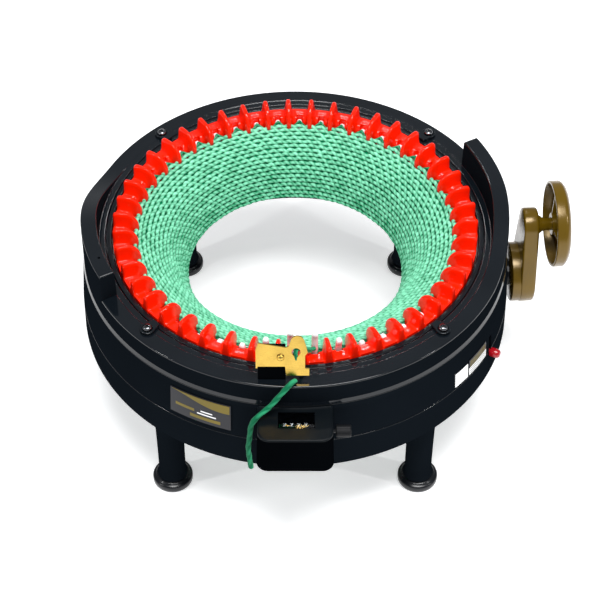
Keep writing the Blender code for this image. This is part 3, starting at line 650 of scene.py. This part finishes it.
def knitting():
    """The courses of yarn, with painted shade that darkens them towards the bottom, and the dark
    green sheet of painted shade that backs them.
    """
    surface = knit_surface()
    total = surface[0][-1]
    sides = COURSE_SIDES
    strands = []
    for k in range(COURSES):
        share = k / (COURSES - 1)
        s0 = -0.0030 + (total + 0.0018) * share
        path, normal, shade = course_path(surface, s0, math.pi * (k % 2), seed=k)
        verts, painted_shade = plied_tube(path, normal, COURSE_RADIUS, sides, 2, KNIT_LAY, True, 0.04)
        # painted shade: the strand's own shade, the shade of the dips, and more shade on each lower
        # course
        painted_shade = 0.7 * painted_shade - 0.12 + np.repeat(shade, sides) + 0.28 * share ** 2
        strands.append((verts, painted_shade, sides, True))
    # the newest course lies under the fins and carries heavy painted shade all along
    path, normal = hooked_path()
    verts, painted_shade = plied_tube(path, normal, 0.00115, sides, 2, KNIT_LAY, True, 0.13)
    strands.append((verts, 0.5 + 0.4 * painted_shade, sides, True))
    loops = yarn_piece("knitted_loops", strands, "knit", "cylinder")

    # the sheet that backs the courses stands for the fabric behind them, coloured dark green as
    # painted shade
    rows = []
    for k in range(GROUND_ROWS + 1):
        s = -0.0010 + (total + 0.0002) * k / GROUND_ROWS
        r, z, nr, nz = (float(v) for v in knit_at(surface, s))
        rows.append([polar(r - nr * 0.0006, 360.0 * i / GROUND_STEPS, z - nz * 0.0006)
                     for i in range(GROUND_STEPS)])
    points, faces = lofted(rows, False, caps=False)
    sheet = piece("knitted_ground", [(points, faces)], "knit_gap_shade", "cylinder",
                  ["knitted_tube"])


# --- fixed housing ---
def lever_slot():
    """Cuts the selector lever's slot in the side."""
    turn = Matrix.Translation(AXIS) @ Matrix.Rotation(math.radians(LEVER_AZIMUTH), 4, "Z")
    return block((0.155, -0.0023, 0.0980), (0.175, 0.0023, 0.1185), turn)


def shaft_hole():
    """Cuts the crank shaft's hole in the side."""
    place = outward(math.degrees(CRANK_TURN), CRANK_Z)
    return lathe([(0, 0.155), (0.0088, 0.155), (0.0088, 0.175), (0, 0.175)], place, 40)


def gloss_edges(made, finish_name, limit):
    """Gives a second finish to the faces whose normal rises by more than a limit."""
    made.data.materials.append(FINISHES[finish_name])
    for face in made.data.polygons:
        if face.normal.z > limit:
            face.material_index = 1


def housing():
    """The tray, the side wall and the black band round the crown."""
    floor = BODY_BOTTOM + 0.0027
    parting = PARTING_Z - GAP
    tray = piece("base_tray_shell", [turned([
        (0.1180, 0.0802, 0.0008), (0.1268, BODY_BOTTOM, 0.0008), (BODY_RADIUS, BODY_BOTTOM, 0.0032),
        (PARTING_RADIUS, parting, 0.0007), (PARTING_RADIUS - WALL, parting, 0),
        (BODY_RADIUS - WALL, floor, 0.001), (DRUM_OUTER, floor, 0), (DRUM_OUTER, TRACK_Z, 0),
        (0.1212, TRACK_Z, 0), (0.1212, 0.0950, 0.0008), (0.1180, 0.0950, 0.0008),
    ])], "wall_black", "frame", ["base_tray"])
    carve(tray, [lever_slot(), shaft_hole()])
    gloss_edges(tray, "deck_black", 0.25)
    flat_faces(tray)

    wall = piece("side_housing_shell", [turned([
        (PARTING_RADIUS, PARTING_Z, 0.0007), (LEDGE_RADIUS + 0.0002, LEDGE_Z - 0.0040, 0.003),
        (LEDGE_RADIUS - 0.0006, LEDGE_Z, 0.0010), (0.1560, LEDGE_Z, 0), (0.1560, LEDGE_Z - WALL, 0),
        (LEDGE_RADIUS - WALL, LEDGE_Z - WALL, 0), (PARTING_RADIUS - WALL, PARTING_Z, 0),
    ])], "wall_black", "frame", ["side_housing"])
    carve(wall, [lever_slot(), shaft_hole(),
                 block((-0.004, -0.172, 0.1085), (0.004, -0.158, 0.1150))])
    gloss_edges(wall, "deck_black", 0.25)
    flat_faces(wall)

    piece("retaining_ring_turned", [turned([
        (0.1409, 0.1432, 0), (0.1452, 0.1432, 0), (0.1452, DECK_Z - 0.0006, 0.0006),
        (0.1409, DECK_Z - 0.0006, 0.0010),
    ])], "dark_plastic", "frame", ["retaining_ring"])


def cheek_rise(azimuth):
    """Height of the raised outer wall above the deck, with its abrupt end rounded over."""
    for end in CHEEK_ENDS:
        back = (end - azimuth) % 360.0
        if back <= CHEEK_LENGTH:
            ramp = (back - CHEEK_FLAT) / (CHEEK_LENGTH - CHEEK_FLAT)
            rise = CHEEK_HEIGHT * (1 - smoothstep(ramp))
            inset = min(math.radians(back) * DECK_RADIUS / CHEEK_ROUND, 1.0)
            drop = 1 - math.sqrt(max(1 - (1 - inset) ** 2, 0.0))
            return max(rise - CHEEK_ROUND * drop, 0.0)
    return 0.0


def deck():
    """The deck with its two cheeks; the sections crowd together at their abrupt ends."""
    under, step = DECK_Z - WALL, 0.0004
    stations = set(360.0 * i / STEPS for i in range(STEPS))
    for end in CHEEK_ENDS:
        stations = {a for a in stations if abs((a - end + 180) % 360 - 180) > 0.8}
        stations.update(end - t for t in (0.0, 0.02, 0.06, 0.12, 0.2, 0.3, 0.42, 0.7, 1.6, 1.75))
        stations.update(end + t for t in (0.08, 0.4, 0.75))
    loops = []
    for azimuth in sorted(a % 360 for a in stations):
        rise = cheek_rise(azimuth)
        hollow = max(rise - 0.0030, step)
        top = DECK_Z + rise
        profile = rounded([
            (DECK_INNER, under, 0.0002), (DECK_INNER, DECK_Z - step, 0.0009),
            (CHEEK_INNER - 0.0004, DECK_Z - step, 0.0006), (CHEEK_INNER, top, 0.0010),
            (DECK_RADIUS, top, 0.0013), (LEDGE_RADIUS - 0.0010, LEDGE_Z + 0.0035, 0.0035),
            (LEDGE_RADIUS - 0.0002, LEDGE_Z + GAP, 0.0002),
            (LEDGE_RADIUS - WALL, LEDGE_Z + GAP, 0.0002), (0.1604, under, 0.0002),
            (0.1602, under + hollow, 0.0002), (0.1540, under + hollow, 0.0002),
            (0.1536, under, 0.0002),
        ])
        loops.append([polar(r, azimuth, z) for r, z in profile])
    made = piece("deck_ring_shell", [lofted(loops)], "wall_black", "frame",
                 ["deck_ring"], smooth=32.0)
    holes = [lathe([(0, 0.150), (0.0019, 0.150), (0.0019, 0.170), (0, 0.170)],
                   upright(*(polar(CLIP_RADIUS, a) - AXIS).xy), 16) for a in CLIP_AZIMUTHS]
    pin = polar(0.1560, 201.5) - AXIS
    holes.append(lathe([(0, 0.178), (0.0011, 0.178), (0.0011, 0.190), (0, 0.190)],
                       upright(pin.x, pin.y), 16))
    carve(made, holes)
    gloss_edges(made, "deck_black", 0.12)
    flat_faces(made)


def legs():
    """Four turned legs with their rubber feet."""
    top = BODY_BOTTOM - GAP
    for name, across, back in (("front_left", -1, -1), ("rear_left", -1, 1),
                               ("front_right", 1, -1), ("rear_right", 1, 1)):
        place = upright(across * LEG_X, back * LEG_Y)
        leg = [(0, 0.0020), (0.0048, 0.0020), (0.0048, 0.0078), (0.0104, 0.0078), (0.0116, 0.0084),
               (0.0118, 0.0094), (0.0110, 0.0106), (0.0106, 0.0125), (0.0104, 0.0160),
               (0.0104, 0.0350), (0.0107, 0.0600), (0.0112, 0.0690), (0.0120, top - 0.0006),
               (0.0120, top), (0, top)]
        piece(f"leg_{name}_turned", [lathe(leg, place, 56)], "wall_black", "frame",
              [f"leg_{name}"], smooth=50.0)
        foot = [(0.0051, 0.0), (0.0140, 0.0), (0.0152, 0.0005), (0.0156, 0.0016), (0.0156, 0.0048),
                (0.0153, 0.0057), (0.0145, 0.0063), (0.0134, 0.0065), (0.0130, 0.0070),
                (0.0124, 0.0075), (0.0051, 0.0075)]
        piece(f"foot_{name}_turned", [lathe(foot, place, 64)], "rubber", "frame",
              [f"foot_{name}"], smooth=50.0)


def clips():
    """Four hold-down clips with cross-head screws."""
    low = DECK_Z + GAP
    high = low + 0.0020
    nose = 0.1432
    outline = [(nose, -0.0030), *arc((CLIP_RADIUS, 0), 0.0056, -120, 120, 28), (nose, 0.0030)]
    for i, azimuth in enumerate(CLIP_AZIMUTHS, start=1):
        turn = Matrix.Translation(AXIS) @ Matrix.Rotation(math.radians(azimuth), 4, "Z")
        tab = lofted([[turn @ Vector((x, y, z)) for x, y in outline] for z in (low, high)], False)
        clip = piece(f"hold_down_clip_{i}_tab", [tab], "deck_black", "frame",
                     [f"hold_down_clip_{i}"])
        place = turn @ Matrix.Translation((CLIP_RADIUS, 0, 0))
        carve(clip, [lathe([(0, 0.158), (0.0040, 0.1612), (0.0040, 0.164), (0, 0.164)], place, 32)])
        bevel(clip, 0.0005, 3, 35.0)
        head = [(0, 0.1545), (0.0016, 0.1545), (0.0016, high - 0.0006), (0.0032, high - 0.0003),
                (0.0035, high + 0.0003), (0.0034, high + 0.0010), (0.0028, high + 0.0018),
                (0.0016, high + 0.0023), (0, high + 0.0024)]
        screw = piece(f"clip_screw_{i}_head", [lathe(head, place, 40)], "screw_steel", "frame",
                      [f"clip_screw_{i}"])
        arms = [block((-a, -b, high + 0.0010), (a, b, high + 0.0040), place @ Matrix.Rotation(
            math.radians(31.0 * i), 4, "Z")) for a, b in ((0.0019, 0.0004), (0.0004, 0.0019))]
        carve(screw, arms)


# --- cylinder ---
def crown():
    """The red ring: narrow-topped fins that flare into a floor, with a slot per needle."""
    rim, low = CROWN_RADIUS, CROWN_BOTTOM
    fin_points = [(rim, 0.1600), (0.1400, 0.1660), (0.1394, 0.1706), (0.1350, 0.1714),
                  (0.1290, 0.1708), (0.1245, 0.1678), (0.1216, 0.1632), (0.1205, 0.1584),
                  (0.1212, 0.1535)]
    floor_points = [(rim, 0.1596), (0.1385, 0.1600), (0.1370, 0.1600), (0.1350, 0.1599),
                    (0.1325, 0.1598), (0.1306, 0.1594), (0.1290, 0.1580), (0.1278, 0.1560),
                    (0.1272, 0.1530)]

    def outline(points, root):
        middle = [tuple(p[:2]) for p in smooth_route([(r, z, 0) for r, z in points], 3)]
        return [(rim, low), *[(max(r, root), z) for r, z in middle], (max(root, 0.1215), low)]

    fin, floor = outline(fin_points, 0), outline(floor_points, 0)
    notch = outline(floor_points, SLOT_RADIUS)
    across = [-1.0, -0.88, -0.78, -0.70, -0.62, -0.55, -0.47, -0.38, -0.27, -0.14, 0.0]
    across += [-u for u in across[-2::-1]]

    def bell(u):
        full = 1 / (1 + (abs(u) / BELL_WIDTH) ** BELL_POWER)
        return max((full - BELL_EDGE) / (1 - BELL_EDGE), 0.0)

    loops = []
    for index in range(NEEDLES):
        middle = FIN_PHASE + PITCH * index
        for u in across:
            share = bell(u)
            loops.append([polar(a + (b - a) * share, middle + FIN_HALF * u, c + (d - c) * share)
                          for (a, c), (b, d) in zip(floor, fin)])
        gap = middle + PITCH / 2
        for azimuth in (gap - SLOT_HALF, gap + SLOT_HALF):
            first, second = (floor, notch) if azimuth < gap else (notch, floor)
            loops.append([polar(r, azimuth - SLOT_EDGE, z) for r, z in first])
            loops.append([polar(r, azimuth + SLOT_EDGE, z) for r, z in second])
    piece("needle_crown_moulded", [lofted(loops)], "red_plastic", "cylinder",
          ["needle_crown"], smooth=60.0)


def needle_mesh(azimuth, foot, sunk):
    """A needle blade: butt at its foot, rounded head with the hook turned outwards."""
    levels = [
        # height, inner radius, outer radius, half width
        (0.0, 0.1272, 0.1341, 0.0020), (0.0045, 0.1272, 0.1341, 0.0020),
        (0.0055, 0.1272, 0.1296, 0.0020), (0.0400, 0.1272, 0.1296, 0.0020),
        (0.0440, 0.1272, 0.1296, 0.0024), (0.0535, 0.1272, 0.1297, 0.0024),
        (0.0563, 0.1273, 0.1302, 0.0024), (0.0585, 0.1275, 0.1316, 0.0024),
        (0.0603, 0.1277, 0.1319, 0.0022), (0.0615, 0.1280, 0.1317, 0.0018),
        (0.0622, 0.1285, 0.1312, 0.0012), (0.0625, 0.1292, 0.1304, 0.0005),
    ]
    turn = Matrix.Translation(AXIS) @ Matrix.Rotation(math.radians(azimuth), 4, "Z")
    loops = []
    for height, inner, outer, half in levels:
        z = foot + height - (sunk if height > NEEDLE_NECK else 0.0)
        middle, reach = (inner + outer) / 2, (outer - inner) / 2
        loop = []
        for k in range(14):
            angle = 2 * math.pi * k / 14
            c, s = math.cos(angle), math.sin(angle)
            x = middle + reach * math.copysign(abs(c) ** 0.6, c)
            y = half * math.copysign(abs(s) ** 0.6, s)
            loop.append(turn @ Vector((x, y, z)))
        loops.append(loop)
    return lofted(loops, False)


def needles():
    """Twelve needles have slides of their own; the others are down and only turn."""
    for number, index in enumerate(NUMBERED, start=1):
        name = f"needle_{number:02d}"
        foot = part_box(name)[0].z
        piece(f"{name}_blade", [needle_mesh(needle_azimuth(index), foot, 0.0)],
              "needle_plastic", name, [name], smooth=50.0)
    for index in range(NUMBERED.stop, NEEDLES + NUMBERED.start):
        blade = needle_mesh(needle_azimuth(index), NEEDLE_DOWN, PLAIN_SUNK)
        piece(f"needle_plain_{index:02d}", [blade], "needle_plastic", "cylinder",
              smooth=50.0)


# --- crank ---
def crank_place(height):
    """Places a piece that turns about the crank's direction, at a height."""
    return outward(math.degrees(CRANK_TURN), height)


def crank():
    """Arm with its hub, spindle, and the cup-shaped handle wheel with its webs."""
    handle_z = CRANK_Z + CRANK_LENGTH
    turn = Matrix.Translation(AXIS + Vector((0, 0, CRANK_Z))) @ Matrix.Rotation(CRANK_TURN, 4, "Z")
    outline = arc((0, 0), HUB_RADIUS, 168, 372, 48) + arc((0, CRANK_LENGTH), 0.0137, 12, 168, 32)
    layers = ((0.1765, 0.0010), (0.1770, 0.0003), (0.1778, 0.0), (0.1862, 0.0), (0.1874, 0.0005),
              (0.1880, 0.0016))
    loops = []
    centre = Vector((0, CRANK_LENGTH * 0.35))
    for x, inset in layers:
        loop = []
        for y, z in outline:
            away = Vector((y, z)) - centre
            y, z = Vector((y, z)) - away.normalized() * inset
            loop.append(turn @ Vector((x, y, z)))
        loops.append(loop)
    hub = lathe([(0, 0.1700), (0.0229, 0.1700), (0.0236, 0.1704), (0.0237, 0.1712),
                 (0.0237, 0.1775), (0, 0.1775)], crank_place(CRANK_Z), 72)
    boss = lathe([(0, 0.1875), (0.0072, 0.1875), (0.0070, 0.1900), (0.0062, 0.1912),
                  (0, 0.1912)], crank_place(handle_z), 40)
    piece("crank_arm_moulded", [lofted(loops, False), hub, boss], "bronze_plastic", "crank",
          ["crank_arm"], smooth=45.0)

    spindle = [(0, 0.1880), (0.0058, 0.1880), (0.0056, 0.1915), (0.0050, 0.1935),
               (0.0049, 0.2060), (0, 0.2060)]
    piece("handle_spindle_turned", [lathe(spindle, crank_place(handle_z), 40)],
          "bronze_plastic", "crank", ["handle_spindle"])

    face, rim = HANDLE_FACE, 0.1985
    inside = HANDLE_RADIUS - 0.0022
    wheel = lathe([
        (0, face), (HANDLE_FLAT - 0.001, face), (HANDLE_FLAT + 0.0012, face - 0.0004),
        (HANDLE_RADIUS - 0.0012, face - 0.0022), (HANDLE_RADIUS - 0.0002, face - 0.0034),
        (HANDLE_RADIUS, face - 0.0048), (HANDLE_RADIUS, rim + 0.0006),
        (HANDLE_RADIUS - 0.0006, rim), (inside + 0.0004, rim), (inside, rim + 0.0006),
        (inside, face - 0.0055), (inside - 0.0010, face - 0.0036),
        (HANDLE_FLAT - 0.002, face - 0.0024), (0.0110, face - 0.0024),
        (0.0092, face - 0.0034), (0.0088, face - 0.0055), (0.0086, rim + 0.0010),
        (0.0082, rim + 0.0006), (0.0053, rim + 0.0006),
        (0.0053, face - 0.0027), (0, face - 0.0027),
    ], crank_place(handle_z), 96)
    webs = []
    for k in range(3):
        spin = crank_place(handle_z) @ Matrix.Rotation(math.radians(30 + 120 * k), 4, "Z")
        side = [(0.0080, rim + 0.0012), (inside + 0.0004, face - 0.0060),
                (inside + 0.0004, face - 0.0020), (0.0080, face - 0.0020)]
        webs.append(lofted([[spin @ Vector((r, w, h)) for r, h in side] for w in (-0.0009, 0.0009)],
                           False))
    piece("handle_wheel_moulded", [wheel, *webs], "bronze_plastic", "handle",
          ["handle_wheel"], smooth=35.0)


# --- feeder and counter ---
def soften(node, width, finish_name):
    """Keeps a CAD node, with its edges rounded and a better finish."""
    made = frame["nodes"][node]
    weld = made.modifiers.new("weld", "WELD")
    weld.merge_threshold = 0.00002
    flat = made.modifiers.new("flat", "DECIMATE")
    flat.decimate_type = "DISSOLVE"
    flat.angle_limit = math.radians(1.0)
    if width:
        bevel(made, width, 2, 30.0)
    for slot in made.material_slots:
        slot.material = FINISHES[finish_name]


def counter():
    """The case with its window, the mask and figures below it, and the reset knob."""
    corner = 0.0085
    along_axle = Matrix.Translation(AXIS + COUNTER_AXIS) @ Matrix.Rotation(math.pi / 2, 4, "Y")

    def outline(back_radius, half, inset):
        front = -CASE_FRONT + inset
        half = half - inset
        left = arc((-half + corner, front + corner), corner, 180, 270, 14)
        right = arc((half - corner, front + corner), corner, 270, 360, 14)
        spread = math.degrees(math.asin(half / back_radius))
        return left + right + arc((0, 0), back_radius, 270 + spread, 270 - spread, 24)

    loops = []
    for z, inset in ((CASE_LOW, 0.0012), (CASE_LOW + 0.0012, 0.0), (CASE_TOP - 0.0012, 0.0),
                     (CASE_TOP - 0.0005, 0.0003), (CASE_TOP - 0.0001, 0.0008), (CASE_TOP, 0.0013)):
        share = (z - CASE_LOW) / (CASE_TOP - CASE_LOW)
        back = PARTING_RADIUS + share * (LEDGE_RADIUS - PARTING_RADIUS) + 2 * GAP
        half = CASE_HALF_WIDTH + 0.0010 * (1 - share)
        loops.append([Vector((AXIS.x + x, AXIS.y + y, z)) for x, y in outline(back, half, inset)])
    case = piece("counter_case_moulded", [lofted(loops, False)], "case_wall", "frame",
                 ["counter_case"], smooth=35.0)
    (x0, y0), (x1, y1) = WINDOW
    carve(case, [
        block((-0.0236, -0.1928, 0.1070), (0.0236, -0.1703, CASE_TOP - 0.0022)),
        block((x0, y0, 0.130), (x1, y1, 0.145)),
        block((-0.004, -0.1725, 0.1085), (0.004, -0.160, 0.1150)),
        lathe([(0, -0.0252), (0.0018, -0.0252), (0.0018, 0.035), (0, 0.035)], along_axle, 20),
    ])
    gloss_edges(case, "case_black", 0.05)
    flat_faces(case)
    x0, y0, x1 = x0 - MASK_MARGIN, y0 - MASK_MARGIN, x1 + MASK_MARGIN
    low, high = MASK_Z
    piece("counter_mask", [block((x0, y0, low), (x1, y0 + MASK_SLOT[0], high)),
                           block((x0, y0 + MASK_SLOT[1], low), (x1, y1, high))],
          "case_wall", "frame")
    digits()

    loops = []
    for h, scale in ((0.0290, 0.90), (0.0293, 0.98), (0.0299, 1.0), (0.0391, 1.0), (0.0397, 0.97),
                     (0.0400, 0.88)):
        loop = []
        for k in range(144):
            angle = 2 * math.pi * k / 144
            radius = 0.0047 * scale * (1 - 0.035 * (0.5 + 0.5 * math.cos(24 * angle)))
            loop.append(along_axle @ Vector((radius * math.cos(angle), radius * math.sin(angle),
                                             h)))
        loops.append(loop)
    piece("reset_knob_knurled", [lofted(loops, False)], "knob_grey", "reset_shaft",
          ["reset_knob"], smooth=50.0)


def digits():
    """White figures 0 to 9 round each of the four counter wheels."""
    for i, name in enumerate(("thousands", "hundreds", "tens", "units")):
        centre = AXIS + COUNTER_AXIS + Vector(((i - 1.5) * DIGIT_PITCH, 0, 0))
        parts = []
        for value in range(10):
            text = bpy.data.curves.new("figure", "FONT")
            text.body = str(value)
            text.size = FIGURE_SIZE
            text.align_x, text.align_y = "CENTER", "CENTER"
            text.extrude = 0.00008
            text.resolution_u = 2
            holder = linked("figure", text)
            graph = bpy.context.evaluated_depsgraph_get()
            mesh = bpy.data.meshes.new_from_object(holder.evaluated_get(graph))
            points = []
            for vert in mesh.vertices:
                x, y, z = vert.co
                angle = READING_ANGLE + 2 * math.pi * value / 10 - y / DIGIT_RADIUS
                radius = DIGIT_RADIUS + z + 0.00004
                points.append(centre + radius * Vector((0, -math.sin(angle), math.cos(angle)))
                              + Vector((x, 0, 0)))
            parts.append((points, [tuple(face.vertices) for face in mesh.polygons]))
            bpy.data.objects.remove(holder)
        piece(f"counter_figures_{name}", parts, "mark_white", f"digit_{name}")


def wall_radius(z):
    """Radius of the tapered side wall at a height."""
    share = (z - PARTING_Z) / (LEDGE_Z - PARTING_Z)
    return PARTING_RADIUS + share * (LEDGE_RADIUS - PARTING_RADIUS)


def wall_plate(start, end, low, high, thickness, lift=GAP):
    """A thin plate on the round side wall; low and high are heights or functions."""
    steps = 24
    loops = []
    for i in range(steps + 1):
        share = i / steps
        azimuth = start + (end - start) * share
        z0 = low(share) if callable(low) else low
        z1 = high(share) if callable(high) else high
        loop = []
        for z, out in ((z0, lift), (z0, lift + thickness), (z1, lift + thickness), (z1, lift)):
            loop.append(polar(wall_radius(z) + out, azimuth, z))
        loops.append(loop)
    return lofted(loops, False)


def plates():
    """A plain badge with a swoosh, bars and streaks, and a plain label; no lettering."""
    badge, label, ink = 0.0008, 0.0004, 0.0001   # thicknesses
    on_badge, on_label = GAP + badge, GAP + label

    def swoosh_edge(share):
        return 0.1328 - 0.0078 * math.sin(math.pi * share * 0.55) ** 1.7

    piece("badge_plate_film", [wall_plate(-123.2, -106.3, 0.1090, 0.1332, badge)], "badge",
          "frame", ["badge_plate"])
    gold = [wall_plate(-122.6, -106.6, swoosh_edge, 0.1330, 2 * ink, on_badge),
            wall_plate(-121.6, -116.2, 0.1180, 0.1206, ink, on_badge),
            wall_plate(-117.4, -109.0, 0.1120, 0.1150, ink, on_badge)]
    piece("badge_swoosh", gold, "badge_gold", "frame")
    streaks = [wall_plate(-115.4 + k, -110.2 - k, 0.1170 + 0.0028 * k, 0.1181 + 0.0028 * k, ink,
                          on_badge) for k in range(2)]
    piece("badge_streaks", streaks, "mark_white", "frame")
    piece("rating_label_film", [wall_plate(-44.35, -39.2, 0.1062, 0.1193, label),
                                wall_plate(-38.6, -30.2, 0.1062, 0.1132, label)],
          "label", "frame", ["rating_label"])
    piece("rating_label_dark", [wall_plate(-38.6, -30.2, 0.1134, 0.1210, label)], "badge",
          "frame")
    for name, finish_name, first, pitch, count in (
            ("rating_label_lines", "print_grey", 0.1074, 0.0021, 3),
            ("rating_label_dark_lines", "badge_gold", 0.1142, 0.0016, 4)):
        lines = [wall_plate(-38.2, -30.6, first + pitch * k, first + 0.0005 + pitch * k, ink,
                            on_label) for k in range(count)]
        piece(name, lines, finish_name, "frame")


def selector():
    """The selector lever's stem and knob, which stand out through the slot."""
    knob = [(0, 0.1622), (0.0017, 0.1622), (0.0017, 0.1672), (0.0033, 0.1676), (0.0036, 0.1683),
            (0.0036, 0.1725), (0.0033, 0.1738), (0.0027, 0.1747), (0.0016, 0.1753), (0, 0.1754)]
    piece("selector_lever_knob", [lathe(knob, outward(LEVER_AZIMUTH, LEVER_Z), 40)],
          "crimson", "selector", ["selector_lever"])


def kept_nodes():
    """CAD nodes whose shape is right, with rounded edges and their own finishes."""
    soften("feeder_plate", 0.00022, "brass")
    soften("feeder_rivet", 0.0003, "brass")
    soften("feeder_block", 0.0006, "case_wall")
    soften("counter_window", 0.0002, "lens")
    for name in ("thousands", "hundreds", "tens", "units"):
        soften(f"digit_wheel_{name}", 0.0002, "dark_plastic")
    for name in ("cam_ring", "needle_drum", "drive_ring", "drive_pinion", "trip_lever",
                 "selector_slide"):
        soften(name, 0, "white_plastic")
    soften("crank_shaft", 0.0003, "steel")
    soften("counter_axle", 0.0002, "dark_plastic")
    soften("shaft_bushing", 0.0003, "dark_plastic")


def main():
    camera()
    yarn_lead()
    stage()
    housing()
    deck()
    legs()
    clips()
    crown()
    needles()
    knitting()
    crank()
    counter()
    plates()
    selector()
    kept_nodes()


main()
